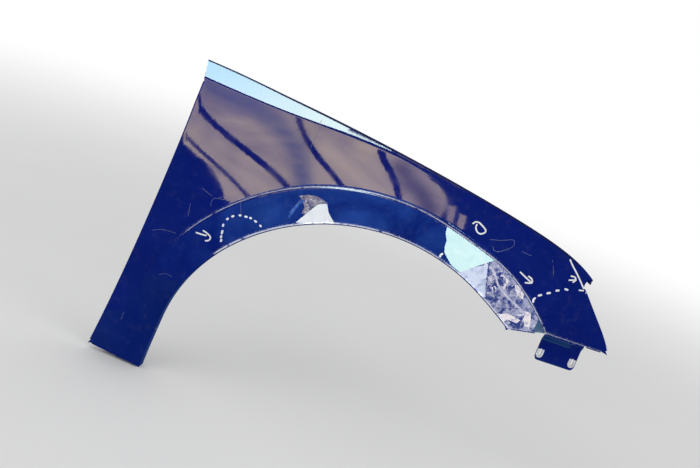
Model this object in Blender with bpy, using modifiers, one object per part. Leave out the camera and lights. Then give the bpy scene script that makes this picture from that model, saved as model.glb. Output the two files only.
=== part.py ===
"""Right-hand front fender of a car, pressed from one sheet of steel.

The panel keeps the car's own axes: +X is forward, -Y is the outer side and +Z is up.
The outline and the folds are laid out from the centre of the wheel arch, and the whole
panel is then moved so that the origin lies on a fixing pad of the hood-side flange.
"""

import math

import bmesh
import bpy
from mathutils import Matrix, Vector

# Sheet and folds, in metres
SHEET = 0.0008
EDGE_FOLD = 0.003
HEM_RADIUS = 0.003
WALL_BEND = 0.003
CREASE_ROUND = 0.003

# Wheel arch, measured from its centre
ARCH_RADIUS = 0.360
LEG_FLARE = 0.012
LEG_FLARE_FROM = math.radians(172)
LEG_FLARE_OVER = math.radians(16)
NOSE_FLARE = 0.006
NOSE_FLARE_FROM = math.radians(62)
NOSE_FLARE_OVER = math.radians(13)
BAND_WIDTH = 0.063
STEP_WIDTH = 0.004
STEP_HEIGHT = 0.003
LIP_FLARE = 0.0135
FLARE_FADE_FROM = math.radians(150)
FLARE_FADE_OVER = math.radians(30)
LIP_FLANGE = 0.019

# Side outline, x and z from the arch centre. It keeps its distance from the arch lip.
LEG_FRONT_X = -(ARCH_RADIUS + 0.006)
LEG_FRONT_Z = -0.058
LEG_REAR_X = LEG_FRONT_X - 0.1115
LEG_REAR_Z = -0.0505
REAR_X = -(ARCH_RADIUS + 0.0615)
REAR_SWEEP_Z = ARCH_RADIUS + 0.070
REAR_SWEEP_POWER = 1.62
TOP_REAR_Z = ARCH_RADIUS + 0.1655
TOP_REAR_RISE = 0.0055
TOP_REAR_RISE_LENGTH = 0.170
TOP_REAR_RISE_POWER = 1.5
TOP_DROP = 0.1046
TOP_DROP_POWER = 1.85
TIP_DROP = 0.020
TIP_DROP_POWER = 18.0
TIP_X = ARCH_RADIUS - 0.002
TIP_LEAN = 0.009
TIP_LEAN_FADE = 0.030
HORN_BACK = 0.011
HORN_DROP = 0.0105
NOTCH_HEIGHT = 0.007
LAMP_TOP_X = ARCH_RADIUS - 0.007
LAMP_TOP_Z = ARCH_RADIUS + 0.020
LAMP_BULGE = 0.0072
LAMP_BULGE_RISE = 1.3
LAMP_BULGE_FALL = 6.0

# Front lower edge, at the height where the crease above the band ends, and the tab below it
CREASE_RADIUS = ARCH_RADIUS + BAND_WIDTH + STEP_WIDTH
CREASE_END = math.radians(41.42)
FRONT_BOTTOM_Z = CREASE_RADIUS * math.sin(CREASE_END)
BAND_FOOT_SLOPE = 0.132
TAB_SETBACK = 0.0082
TAB_WIDTH = 0.076
TAB_REAR_X = CREASE_RADIUS * math.cos(CREASE_END) - TAB_SETBACK
TAB_FRONT_X = TAB_REAR_X + TAB_WIDTH
TAB_JOGGLE = 0.014
TAB_JOGGLE_HEIGHT = 0.014
TAB_HEIGHT = 0.0395
TAB_CORNER = 0.006
LOWER_TIP_X = TAB_FRONT_X + 0.0455

# Ledge above the shoulder crease, from the crease to the hem
LEDGE_WIDTH = 0.042
LEDGE_NOSE_WIDTH = 0.0055
LEDGE_TAPER = 0.410
LEDGE_LEAN = math.radians(50)
LEDGE_NOSE_LEAN = math.radians(20)
LEDGE_LEAN_TAPER = 0.480
LEDGE_REAR_LEAN = 0.0125
LEDGE_REAR_FADE = 0.060

# Curvature of the skin
NOSE_SWEEP = 0.085
SWEEP_START_X = -0.450
SWEEP_LENGTH = 0.870
SWEEP_POWER = 2.2
CROWN_RADIUS = 1.35
CROWN_BELOW_TOP = 0.2735
CROWN_SKEW_LENGTH = 1.328

# Gap wall beside the hood and the fixing flange below it
WALL_LEAN = math.radians(5)
GAP_DEPTH = 0.030
GAP_DEPTH_NOSE = 0.010
GAP_TAPER_X = ARCH_RADIUS - 0.070
FLANGE_WIDTH = 0.013
PAD_FLANGE_WIDTH = 0.028
PAD_SINK = 0.0025
PAD_HALF = 0.026
PAD_JOGGLE = 0.008
PAD_COUNT = 4
PAD_FIRST_X = -(ARCH_RADIUS + 0.030)
PAD_LAST_X = ARCH_RADIUS - 0.180
PAD_PITCH = (PAD_LAST_X - PAD_FIRST_X) / (PAD_COUNT - 1)
ORIGIN_PAD = 2
HOOD_FLANGE_END_X = ARCH_RADIUS - 0.060
HEM_STEPS = 5
BEND_STEPS = 2

# Flanges on the other edges
REAR_FLANGE = 0.013
EAR_FLANGE = 0.030
EAR_TOP_Z = ARCH_RADIUS + 0.120
EAR_BOTTOM_Z = ARCH_RADIUS + 0.080
EAR_TAPER = 0.008
SILL_FLANGE = 0.012
SILL_EAR_FLANGE = 0.030
SILL_EAR_HALF = 0.023
LAMP_FLANGE = 0.010
BUMPER_FLANGE = 0.012
CORNER_RELIEF = 0.005

# Holes
FIXING_SLOT_WIDTH = 0.008
FIXING_SLOT_LENGTH = 0.013
PAIRED_SLOT_SPACING = 0.034
EAR_HOLE = 0.009
SILL_SLOT_WIDTH = 0.008
SILL_SLOT_LENGTH = 0.014
LINER_HOLE = 0.006
LINER_HOLE_COUNT = 6
LINER_FIRST_ANGLE = math.radians(66)
LINER_LAST_ANGLE = math.radians(176)
LAMP_HOLE = 0.005
LAMP_HOLE_COUNT = 2
BUMPER_SLOT_WIDTH = 0.005
BUMPER_SLOT_LENGTH = 0.014
TAB_SLOT_WIDTH = 0.005
TAB_SLOT_LENGTH = 0.014
TAB_SLOT_EDGE = 0.0075
TAB_SLOT_RISE = 0.016
HOLE_SIDES = 12
CUTTER_REACH = 0.010

# Mesh density
REAR_SPACING = 0.028
TOP_SPACING = 0.029
NOSE_SPACING = 0.012
LAMP_SPACING = 0.017
BAND_ROWS = 3
STEP_ROWS = 2
TAB_ROWS = 5
FRONT_ROWS = 2
FOLD_STEPS = 3
JOGGLE_STEPS = 4

REAR_SHARE = 0.391
TOP_SHARE = 0.470


def smooth(value):
    """Ease from 0 to 1 with no slope at either end."""
    value = min(max(value, 0.0), 1.0)
    return value * value * (3.0 - 2.0 * value)


def mix(low, high, share):
    return low + (high - low) * share


def top_sweep_z(x):
    """The long curve that the hood-side edge and the crown of the skin both follow."""
    along = max(x - REAR_X, 0.0) / (TIP_X - REAR_X)
    return TOP_REAR_Z - TOP_DROP * along ** TOP_DROP_POWER


def top_edge_z(x):
    """Height of the hood-side edge, which turns up at the rear and down at the tip."""
    along = max(x - REAR_X, 0.0)
    rise = TOP_REAR_RISE * max(1.0 - along / TOP_REAR_RISE_LENGTH, 0.0) ** TOP_REAR_RISE_POWER
    fall = TIP_DROP * (along / (TIP_X - REAR_X)) ** TIP_DROP_POWER
    return top_sweep_z(x) + rise - fall


def ledge_width(x):
    return mix(LEDGE_WIDTH, LEDGE_NOSE_WIDTH, smooth((x - REAR_X) / LEDGE_TAPER))


def ledge_lean(x):
    """Slope of the ledge, which dies out into the skin towards the nose."""
    return mix(LEDGE_LEAN, LEDGE_NOSE_LEAN, smooth((x - REAR_X) / LEDGE_LEAN_TAPER))


def shoulder_z(x):
    """Height of the shoulder crease."""
    hem_rise = HEM_RADIUS * (1.0 - math.sin(ledge_lean(x)))
    return top_edge_z(x) - hem_rise - ledge_width(x) * math.cos(ledge_lean(x))


def skin_depth(x, z):
    """How far inboard the skin lies from the car's widest plane."""
    along = max(x - SWEEP_START_X, 0.0) / SWEEP_LENGTH
    sweep = NOSE_SWEEP * along ** SWEEP_POWER
    drop = top_sweep_z(x) - CROWN_BELOW_TOP - z
    return sweep + drop * drop / (2.0 * CROWN_RADIUS) - drop ** 3 / CROWN_SKEW_LENGTH ** 2


def rear_edge_x(z):
    """The door-side edge: upright at the top, swept back down the leg."""
    below = max(REAR_SWEEP_Z - z, 0.0) / (REAR_SWEEP_Z - LEG_REAR_Z)
    return REAR_X + (LEG_REAR_X - REAR_X) * below ** REAR_SWEEP_POWER


def leg_bottom_z(x):
    return mix(LEG_REAR_Z, LEG_FRONT_Z, (x - LEG_REAR_X) / (LEG_FRONT_X - LEG_REAR_X))


def arc_radius(from_lip, angle):
    """Radius of an arc of the band, whose lip opens out a little towards both ends."""
    past = max(angle - LEG_FLARE_FROM, 0.0) / LEG_FLARE_OVER
    before = max(NOSE_FLARE_FROM - angle, 0.0) / NOSE_FLARE_OVER
    opening = LEG_FLARE * past * past + NOSE_FLARE * before * before
    return ARCH_RADIUS + from_lip + opening * max(1.0 - from_lip / BAND_WIDTH, 0.0)


def arc_end_x(from_lip):
    """Where an arc round the wheel arch comes down to the level of the front lower edge."""
    return math.sqrt((ARCH_RADIUS + from_lip) ** 2 - FRONT_BOTTOM_Z ** 2)


def front_bottom_z(x):
    """The lower front edge: level ahead of the band, falling towards the arch lip."""
    return FRONT_BOTTOM_Z - BAND_FOOT_SLOPE * max(arc_end_x(BAND_WIDTH) - x, 0.0)


def flare(from_lip, angle):
    """How far the band round the arch stands out from the skin."""
    step = STEP_HEIGHT * smooth((BAND_WIDTH + STEP_WIDTH - from_lip) / STEP_WIDTH)
    slope = LIP_FLARE * min(max(1.0 - from_lip / BAND_WIDTH, 0.0), 1.0)
    fade = 1.0 - smooth((angle - FLARE_FADE_FROM) / FLARE_FADE_OVER)
    return (step + slope) * fade


def row_angles(from_lip):
    """Angles at which an arc of the band meets the leg's foot and the front lower edge."""
    start = math.pi
    for _ in range(20):
        radius = arc_radius(from_lip, start)
        foot = leg_bottom_z(radius * math.cos(start)) + EDGE_FOLD
        start = math.pi - math.asin(foot / radius)
    end = NOSE_FLARE_FROM
    for _ in range(20):
        radius = arc_radius(from_lip, end)
        end = math.asin((front_bottom_z(radius * math.cos(end)) + EDGE_FOLD) / radius)
    return start, end


def band_point(from_lip, share):
    """A point of the arch band, at a share of the way from the leg to the front."""
    start, end = row_angles(from_lip)
    angle = mix(start, end, share)
    radius = arc_radius(from_lip, angle)
    x = radius * math.cos(angle)
    z = radius * math.sin(angle)
    return Vector((x, skin_depth(x, z) - flare(from_lip, angle), z))


def skin_point(x, z):
    return Vector((x, skin_depth(x, z), z))


def pad_x(index):
    return PAD_FIRST_X + PAD_PITCH * index


def near_pad(x):
    """Index of the fixing pad that covers x, or None between pads."""
    for index in range(PAD_COUNT):
        if abs(x - pad_x(index)) < PAD_HALF + 0.0001:
            return index
    return None


def hood_flange_z(x):
    """Upper side of the hood-side flange, level across each pad."""
    index = near_pad(x)
    if index is not None:
        return top_edge_z(pad_x(index)) - GAP_DEPTH - PAD_SINK
    taper = smooth((x - GAP_TAPER_X) / (TIP_X - GAP_TAPER_X))
    return top_edge_z(x) - mix(GAP_DEPTH, GAP_DEPTH_NOSE, taper)


def fill(fixed, spacing):
    """Stations that include every fixed place, with even steps between them."""
    stations = [fixed[0]]
    for low, high in zip(fixed, fixed[1:]):
        count = max(1, round((high - low) / spacing))
        stations += [mix(low, high, step / count) for step in range(1, count + 1)]
    return stations


def top_stations():
    """x of each column along the hood-side edge, with one at each side of every pad."""
    start = rear_edge_x(shoulder_z(REAR_X))
    fixed = [start, HOOD_FLANGE_END_X]
    for index in range(PAD_COUNT):
        for side in (-1.0, 1.0):
            fixed.append(pad_x(index) + side * PAD_HALF)
            fixed.append(pad_x(index) + side * (PAD_HALF + PAD_JOGGLE))
    fixed = sorted(x for x in fixed if start <= x <= HOOD_FLANGE_END_X)
    return fill(fixed, TOP_SPACING) + fill([HOOD_FLANGE_END_X, TIP_X - TIP_LEAN], NOSE_SPACING)[1:]


def rear_stations():
    """z of each column along the door-side edge, with one at each side of the ear."""
    foot = LEG_REAR_Z + EDGE_FOLD
    corner = shoulder_z(REAR_X) - CREASE_ROUND
    fixed = [foot, foot + CORNER_RELIEF, EAR_BOTTOM_Z - EAR_TAPER, EAR_BOTTOM_Z]
    fixed += [EAR_TOP_Z, EAR_TOP_Z + EAR_TAPER, corner - CORNER_RELIEF, corner]
    return fill(sorted(fixed), REAR_SPACING)


def lamp_edge(share):
    """A point (x, z) of the headlamp edge, which bows out above the lower tip."""
    top = Vector((LAMP_TOP_X, LAMP_TOP_Z))
    line = Vector((LOWER_TIP_X, FRONT_BOTTOM_Z)) - top
    out = Vector((-line.y, line.x)).normalized()
    bow = LAMP_BULGE * share ** LAMP_BULGE_RISE * (1.0 - share ** LAMP_BULGE_FALL)
    return top + line * share + out * bow


def lamp_fold(share):
    """Where the skin ends short of the headlamp edge, and the edge's outward direction."""
    along = lamp_edge(min(share + 0.01, 1.0)) - lamp_edge(max(share - 0.01, 0.0))
    out = Vector((-along.y, 0, along.x)).normalized()
    point = lamp_edge(share)
    return Vector((point.x, 0, point.y)) - out * EDGE_FOLD, out


def lamp_stations():
    """Shares of the columns along the headlamp edge, with one near each corner."""
    length = math.hypot(LOWER_TIP_X - LAMP_TOP_X, LAMP_TOP_Z - FRONT_BOTTOM_Z)
    end = length - EDGE_FOLD
    stations = fill([0.0, CORNER_RELIEF, end - 2 * CORNER_RELIEF, end], LAMP_SPACING)
    return [station / length for station in stations]


def boundary():
    """Outer ends of the columns: (share along the arch, x, z, outward direction, edge)."""
    points = []
    heights = rear_stations()
    for z in heights[:-1]:
        slope = (rear_edge_x(z + 0.001) - rear_edge_x(z - 0.001)) / 0.002
        out = Vector((-1.0, 0.0, slope)).normalized()
        share = REAR_SHARE * (z - heights[0]) / (heights[-1] - heights[0])
        points.append((share, rear_edge_x(z) - out.x * EDGE_FOLD, z, out, "rear"))

    stations = top_stations()
    for x in stations:
        share = REAR_SHARE + TOP_SHARE * (x - stations[0]) / (stations[-1] - stations[0])
        points.append((share, x, shoulder_z(x) - CREASE_ROUND, Vector((0, 0, 1)), "top"))

    back = TIP_X - HORN_BACK
    horn_z = top_edge_z(TIP_X) - HORN_DROP
    ends = [(back, horn_z, Vector((1, 0, 0)), "horn")]
    ends.append((back, horn_z - NOTCH_HEIGHT, Vector((1, 0, 0)), "horn"))
    for along in lamp_stations():
        at, out = lamp_fold(along)
        ends.append((at.x, max(at.z, FRONT_BOTTOM_Z + EDGE_FOLD), out, "lamp"))
    left = 1.0 - REAR_SHARE - TOP_SHARE
    for step, (x, z, away, edge) in enumerate(ends):
        points.append((1.0 - left * (1.0 - (step + 1) / len(ends)), x, z, away, edge))
    return points


def body_shares():
    """Rows from the step to the outer edge, one of them at the tab's front side."""
    start = band_point(BAND_WIDTH + STEP_WIDTH, 1.0).x
    end = lamp_fold(lamp_stations()[-1])[0].x
    tab_front = (TAB_FRONT_X - start) / (end - start)
    relief = CORNER_RELIEF / (end - start)
    last = 1.0 - 2.0 * relief
    shares = [tab_front * step / TAB_ROWS for step in range(1, TAB_ROWS + 1)]
    shares += [mix(tab_front + relief, last, step / FRONT_ROWS) for step in range(FRONT_ROWS + 1)]
    return shares + [1.0]


class Sheet:
    """The open surface of the panel, built as rows of quads before it gets its thickness."""

    def __init__(self):
        self.mesh = bmesh.new()

    def row(self, points):
        return [self.mesh.verts.new(point) for point in points]

    def join(self, first, second):
        for step in range(len(first) - 1):
            corners = (first[step], first[step + 1], second[step + 1], second[step])
            self.mesh.faces.new(corners)

    def strip(self, edge, rows):
        """Join an existing edge of vertices to new rows of points."""
        last = edge
        for points in rows:
            new = self.row(points)
            self.join(last, new)
            last = new
        return last


def fold_rows(starts, outs, depths):
    """Rows of a convex fold that turns from the skin to a flange running inboard."""
    rows = []
    for step in range(1, FOLD_STEPS + 1):
        turn = 0.5 * math.pi * step / FOLD_STEPS
        rows.append([
            start + out * EDGE_FOLD * math.sin(turn) + Vector((0, EDGE_FOLD * (1 - math.cos(turn)), 0))
            for start, out in zip(starts, outs)
        ])
    rows.append([point + Vector((0, depth, 0)) for point, depth in zip(rows[-1], depths)])
    return rows


def hood_section(x):
    """Section from the shoulder crease over the hem, down the gap wall and round its bend."""
    lean = ledge_lean(x)
    ledge = Vector((0, math.sin(lean), math.cos(lean)))
    inward = Vector((0, math.cos(lean), -math.sin(lean)))
    crease = skin_point(x, shoulder_z(x))
    lower = skin_point(x, crease.z - CREASE_ROUND)
    upper = crease + ledge * min(CREASE_ROUND, ledge_width(x) / 2)
    hem = crease + ledge * ledge_width(x)
    section = [lower * 0.25 + crease * 0.5 + upper * 0.25, upper, (upper + hem) / 2, hem]

    centre = hem + inward * HEM_RADIUS
    wall_heading = math.pi / 2 - WALL_LEAN
    for step in range(1, HEM_STEPS + 1):
        heading = mix(math.pi / 2 - lean, -wall_heading, step / HEM_STEPS)
        around = Vector((0, -math.sin(heading), math.cos(heading)))
        section.append(centre + around * HEM_RADIUS)

    foot = section[-1].copy()
    foot_z = hood_flange_z(x) + WALL_BEND * (1 - math.cos(wall_heading))
    foot.y += (foot.z - foot_z) * math.tan(WALL_LEAN)
    foot.z = foot_z
    section.append(foot)
    bend = foot + Vector((0, math.sin(wall_heading), math.cos(wall_heading))) * WALL_BEND
    for step in range(1, BEND_STEPS + 1):
        heading = mix(-wall_heading, 0.0, step / BEND_STEPS)
        section.append(bend + Vector((0, math.sin(heading), -math.cos(heading))) * WALL_BEND)
    return section


def ledge_rows(stations):
    """Rows of the hood-side edge, whose ends lean back at the rear and forward at the tip."""
    columns = []
    for x in stations:
        column = hood_section(x)
        crease_y = skin_depth(x, shoulder_z(x))
        hem_y = column[3].y
        back = LEDGE_REAR_LEAN * (1.0 - smooth((x - stations[0]) / LEDGE_REAR_FADE))
        ahead = TIP_LEAN * smooth(1.0 - (stations[-1] - x) / TIP_LEAN_FADE)
        for point in column:
            share = min(max((point.y - crease_y) / (hem_y - crease_y), 0.0), 1.0)
            reach = x + ahead * share
            point.x = reach - back * share
            point.y += skin_depth(reach, shoulder_z(reach)) - skin_depth(x, shoulder_z(x))
            point.z += top_edge_z(reach) - top_edge_z(x)
        columns.append(column)
    return [list(row) for row in zip(*columns)]


def tab_frame():
    """Rear and front ends of the flat tab, which is a plane that follows the skin's sweep."""
    z = FRONT_BOTTOM_Z - TAB_JOGGLE_HEIGHT - TAB_HEIGHT
    ends = (TAB_REAR_X, TAB_FRONT_X)
    return [Vector((x, skin_depth(x, FRONT_BOTTOM_Z) + TAB_JOGGLE, z)) for x in ends]


def tab_rows(starts):
    """Rows of the joggle and of the flat tab below the front edge."""
    rear, front = tab_frame()
    skin_end = FRONT_BOTTOM_Z + EDGE_FOLD
    high = FRONT_BOTTOM_Z - TAB_JOGGLE_HEIGHT
    rows = [[] for _ in range(JOGGLE_STEPS + 2)]
    for start in starts:
        share = (start.x - starts[0].x) / (starts[-1].x - starts[0].x)
        foot = rear.lerp(front, share)
        low = foot.z + (TAB_CORNER if start in (starts[0], starts[-1]) else 0.0)
        heights = [mix(skin_end, high, (step + 1) / JOGGLE_STEPS) for step in range(JOGGLE_STEPS)]
        for row, z in zip(rows, heights + [(high + low) / 2, low]):
            inboard = smooth((skin_end - z) / (skin_end - high))
            row.append(Vector((foot.x, mix(skin_depth(foot.x, FRONT_BOTTOM_Z), foot.y, inboard), z)))
    return rows


def fold_along(sheet, verts, outs, depths):
    """Fold a flange along a run of edge vertices."""
    sheet.strip(verts, fold_rows([vert.co for vert in verts], outs, depths))


def build_sheet():
    """Every surface of the panel as one open sheet, laid out from the arch centre."""
    sheet = Sheet()
    edge = boundary()
    band = [EDGE_FOLD] + [
        mix(EDGE_FOLD + CORNER_RELIEF, BAND_WIDTH, step / BAND_ROWS) for step in range(BAND_ROWS + 1)]
    band += [BAND_WIDTH + STEP_WIDTH * step / STEP_ROWS for step in range(1, STEP_ROWS + 1)]
    rows = [sheet.row([band_point(from_lip, point[0]) for point in edge]) for from_lip in band]
    step_row = rows[-1]
    for share in body_shares():
        points = []
        for vert, point in zip(step_row, edge):
            points.append(skin_point(mix(vert.co.x, point[1], share), mix(vert.co.z, point[2], share)))
        rows.append(sheet.row(points))
    for first, second in zip(rows, rows[1:]):
        sheet.join(first, second)

    lip = rows[0]
    outer = rows[-1]
    foot = [row[0] for row in rows]
    nose = [row[-1] for row in rows]
    for vert in (lip[0], lip[-1]):
        vert.co.z -= EDGE_FOLD
    outer[0].co = skin_point(LEG_REAR_X, LEG_REAR_Z)
    outer[-1].co = skin_point(LOWER_TIP_X, FRONT_BOTTOM_Z)

    towards = [Vector((-vert.co.x, 0, -vert.co.z)).normalized() for vert in lip]
    fold_along(sheet, lip, towards, [LIP_FLANGE] * len(lip))

    def columns(kind):
        return [step for step, point in enumerate(edge) if point[4] == kind]

    rear = columns("rear")[1:]
    depths = []
    for step in rear:
        on_ear = EAR_BOTTOM_Z - 0.0001 <= outer[step].co.z <= EAR_TOP_Z + 0.0001
        depths.append(EAR_FLANGE if on_ear else REAR_FLANGE)
    fold_along(sheet, [outer[step] for step in rear], [edge[step][3] for step in rear], depths)

    lamp = columns("lamp")
    outer[lamp[0]].co = skin_point(LAMP_TOP_X, LAMP_TOP_Z)
    lamp = lamp[1:-1]
    outs = [edge[step][3] for step in lamp]
    fold_along(sheet, [outer[step] for step in lamp], outs, [LAMP_FLANGE] * len(lamp))

    top = columns("top")
    stations = [outer[step].co.x for step in top]
    bend = sheet.strip([outer[step] for step in top], ledge_rows(stations))
    root = []
    flange = []
    for vert, x in zip(bend[1:], stations[1:]):
        if x <= HOOD_FLANGE_END_X + 0.0001:
            wide = FLANGE_WIDTH if near_pad(x) is None else PAD_FLANGE_WIDTH
            root.append(vert)
            flange.append(vert.co + Vector((0, wide, 0)))
    sheet.strip(root, [flange])

    down = Vector((0, 0, -1))
    sill = foot[1:-1]
    middle = (LEG_REAR_X + LEG_FRONT_X) / 2
    depths = []
    for vert in sill:
        on_ear = abs(vert.co.x - middle) <= SILL_EAR_HALF
        depths.append(SILL_EAR_FLANGE if on_ear else SILL_FLANGE)
    fold_along(sheet, sill, [down] * len(sill), depths)

    tab_start = len(band) - 1
    tab_end = tab_start + TAB_ROWS
    tab = nose[tab_start:tab_end + 1]
    for run in (nose[1:BAND_ROWS + 1], nose[tab_end + 1:-1]):
        fold_along(sheet, run, [down] * len(run), [BUMPER_FLANGE] * len(run))
    sheet.strip(tab, tab_rows([vert.co for vert in tab]))
    return sheet.mesh


def pad_origin():
    """The middle of the origin pad's underside."""
    x = pad_x(ORIGIN_PAD)
    return hood_section(x)[-1] + Vector((0, PAD_FLANGE_WIDTH / 2, -SHEET))


def hole_cutter(name, centre, axis, along, width, length):
    """A prism for a slot with round ends, or for a round hole where length equals width."""
    axis = axis.normalized()
    along = (along - axis * along.dot(axis)).normalized()
    turn = Matrix((along, axis.cross(along), axis)).transposed().to_4x4()
    half = max((length - width) / 2, 0.0)
    half_side = math.pi / HOLE_SIDES
    radius = width / 2 / math.cos(half_side)
    mesh = bmesh.new()
    bmesh.ops.create_cone(
        mesh, cap_ends=True, segments=HOLE_SIDES, radius1=radius, radius2=radius,
        depth=CUTTER_REACH, matrix=Matrix.Rotation(half_side, 4, "Z"))
    for vert in mesh.verts:
        vert.co.x += math.copysign(half, vert.co.x)
    bmesh.ops.transform(mesh, matrix=Matrix.Translation(centre) @ turn, verts=mesh.verts)
    data = bpy.data.meshes.new(name)
    mesh.to_mesh(data)
    mesh.free()
    cutter = bpy.data.objects.new(name, data)
    cutter.hide_render = True
    cutter.display_type = "WIRE"
    return cutter


def pad_holes():
    """Fixing slots in the hood-side pads; the origin pad has a pair, clear of its middle."""
    for index in range(PAD_COUNT):
        x = pad_x(index)
        shifts = (-PAIRED_SLOT_SPACING / 2, PAIRED_SLOT_SPACING / 2) if index == ORIGIN_PAD else (0.0,)
        for step, shift in enumerate(shifts):
            centre = hood_section(x)[-1] + Vector((shift, PAD_FLANGE_WIDTH / 2, 0))
            name = "pad_slot_%d_%d" % (index, step)
            size = (FIXING_SLOT_WIDTH, FIXING_SLOT_LENGTH)
            yield hole_cutter(name, centre, Vector((0, 0, 1)), Vector((1, 0, 0)), *size)


def liner_holes():
    """Screw holes for the wheel-arch liner, spread along the lip's return flange."""
    for step in range(LINER_HOLE_COUNT):
        angle = mix(LINER_FIRST_ANGLE, LINER_LAST_ANGLE, step / (LINER_HOLE_COUNT - 1))
        ray = Vector((math.cos(angle), 0, math.sin(angle)))
        centre = ray * arc_radius(0.0, angle)
        depth = skin_depth(centre.x, centre.z) - flare(0.0, angle)
        centre.y = depth + EDGE_FOLD + LIP_FLANGE * 0.55
        size = (LINER_HOLE, LINER_HOLE)
        yield hole_cutter("liner_hole_%d" % step, centre, ray, Vector((0, 1, 0)), *size)


def edge_holes():
    """Holes in the rear ear, the sill ear, the headlamp flange and the bumper flange."""
    z = (EAR_TOP_Z + EAR_BOTTOM_Z) / 2
    x = rear_edge_x(z)
    centre = Vector((x, skin_depth(x, z) + EDGE_FOLD + EAR_FLANGE * 0.6, z))
    yield hole_cutter("ear_hole", centre, Vector((1, 0, 0)), Vector((0, 1, 0)), EAR_HOLE, EAR_HOLE)

    x = (LEG_REAR_X + LEG_FRONT_X) / 2
    z = leg_bottom_z(x)
    centre = Vector((x, skin_depth(x, z) + EDGE_FOLD + SILL_EAR_FLANGE * 0.6, z))
    size = (SILL_SLOT_WIDTH, SILL_SLOT_LENGTH)
    yield hole_cutter("sill_slot", centre, Vector((0, 0, 1)), Vector((1, 0, 0)), *size)

    for step in range(LAMP_HOLE_COUNT):
        share = (step + 1) / (LAMP_HOLE_COUNT + 1)
        at = lamp_edge(share)
        centre = Vector((at.x, skin_depth(at.x, at.y) + EDGE_FOLD + LAMP_FLANGE * 0.5, at.y))
        size = (LAMP_HOLE, LAMP_HOLE)
        yield hole_cutter("lamp_hole_%d" % step, centre, lamp_fold(share)[1], Vector((0, 1, 0)), *size)

    x = (arc_end_x(0.0) + arc_end_x(BAND_WIDTH)) / 2
    z = front_bottom_z(x)
    depth = skin_depth(x, z) - flare(math.hypot(x, z) - ARCH_RADIUS, math.atan2(z, x))
    centre = Vector((x, depth + EDGE_FOLD + BUMPER_FLANGE * 0.5, z))
    size = (BUMPER_SLOT_WIDTH, BUMPER_SLOT_LENGTH)
    yield hole_cutter("bumper_slot", centre, Vector((0, 0, 1)), Vector((1, 0, BAND_FOOT_SLOPE)), *size)


def tab_slots():
    """The two upright slots near the ends of the lower front tab."""
    rear, front = tab_frame()
    along = (front - rear).normalized()
    normal = along.cross(Vector((0, 0, 1)))
    for step, end in enumerate((rear + along * TAB_SLOT_EDGE, front - along * TAB_SLOT_EDGE)):
        centre = end + Vector((0, 0, TAB_SLOT_RISE))
        size = (TAB_SLOT_WIDTH, TAB_SLOT_LENGTH)
        yield hole_cutter("tab_slot_%d" % step, centre, normal, Vector((0, 0, 1)), *size)


def paint():
    material = bpy.data.materials.new("navy_paint")
    material.use_nodes = True
    shader = material.node_tree.nodes["Principled BSDF"]
    shader.inputs["Base Color"].default_value = (0.004, 0.012, 0.150, 1.0)
    shader.inputs["Roughness"].default_value = 0.22
    shader.inputs["Metallic"].default_value = 0.2
    material.diffuse_color = (0.02, 0.05, 0.35, 1.0)
    return material


def main():
    for item in list(bpy.data.objects):
        bpy.data.objects.remove(item, do_unlink=True)
    shown = bpy.data.collections.new("car_fender")
    cutters = bpy.data.collections.new("cutters")
    bpy.context.scene.collection.children.link(shown)
    bpy.context.scene.collection.children.link(cutters)

    origin = pad_origin()
    mesh = build_sheet()
    bmesh.ops.translate(mesh, verts=mesh.verts, vec=-origin)
    bmesh.ops.recalc_face_normals(mesh, faces=mesh.faces)
    mesh.faces.ensure_lookup_table()
    if mesh.faces[0].normal.y > 0:
        bmesh.ops.reverse_faces(mesh, faces=mesh.faces)
    data = bpy.data.meshes.new("fender_panel")
    mesh.to_mesh(data)
    mesh.free()
    data.materials.append(paint())
    panel = bpy.data.objects.new("fender_panel", data)
    shown.objects.link(panel)

    wall = panel.modifiers.new("sheet_thickness", "SOLIDIFY")
    wall.thickness = SHEET
    wall.offset = -1.0
    wall.use_even_offset = True
    wall.use_quality_normals = True

    for cutter in (*pad_holes(), *liner_holes(), *edge_holes(), *tab_slots()):
        cutter.location = -origin
        cutters.objects.link(cutter)
    holes = panel.modifiers.new("holes", "BOOLEAN")
    holes.operation = "DIFFERENCE"
    holes.operand_type = "COLLECTION"
    holes.collection = cutters
    holes.solver = "EXACT"


if __name__ == "__main__":
    main()
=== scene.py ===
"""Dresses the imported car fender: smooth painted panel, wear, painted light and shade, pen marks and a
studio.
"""

import math

import bmesh
import bpy
from bpy.props import (
    BoolProperty, FloatProperty, FloatVectorProperty, PointerProperty)
from mathutils import Matrix, Vector


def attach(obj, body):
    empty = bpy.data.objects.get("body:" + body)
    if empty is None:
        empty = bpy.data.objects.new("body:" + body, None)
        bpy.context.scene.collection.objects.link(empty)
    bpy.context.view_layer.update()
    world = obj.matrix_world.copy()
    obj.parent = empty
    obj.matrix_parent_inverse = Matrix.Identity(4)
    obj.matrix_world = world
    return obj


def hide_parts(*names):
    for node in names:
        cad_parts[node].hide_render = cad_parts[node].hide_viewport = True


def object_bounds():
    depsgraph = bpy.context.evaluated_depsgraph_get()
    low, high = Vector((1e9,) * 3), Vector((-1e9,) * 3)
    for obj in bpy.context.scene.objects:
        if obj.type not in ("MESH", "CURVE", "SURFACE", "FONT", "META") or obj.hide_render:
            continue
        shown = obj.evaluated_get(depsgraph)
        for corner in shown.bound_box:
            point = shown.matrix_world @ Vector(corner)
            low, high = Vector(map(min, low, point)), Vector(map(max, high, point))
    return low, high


bl_info = {
    "name": "Car Fender Dressing",
    "version": (1, 0, 0),
    "blender": (4, 5, 0),
    "location": "3D View > Sidebar > Fender",
    "description": "Builds the painted panel, its wear and marks, and a plain studio",
    "category": "Object",
}

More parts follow.
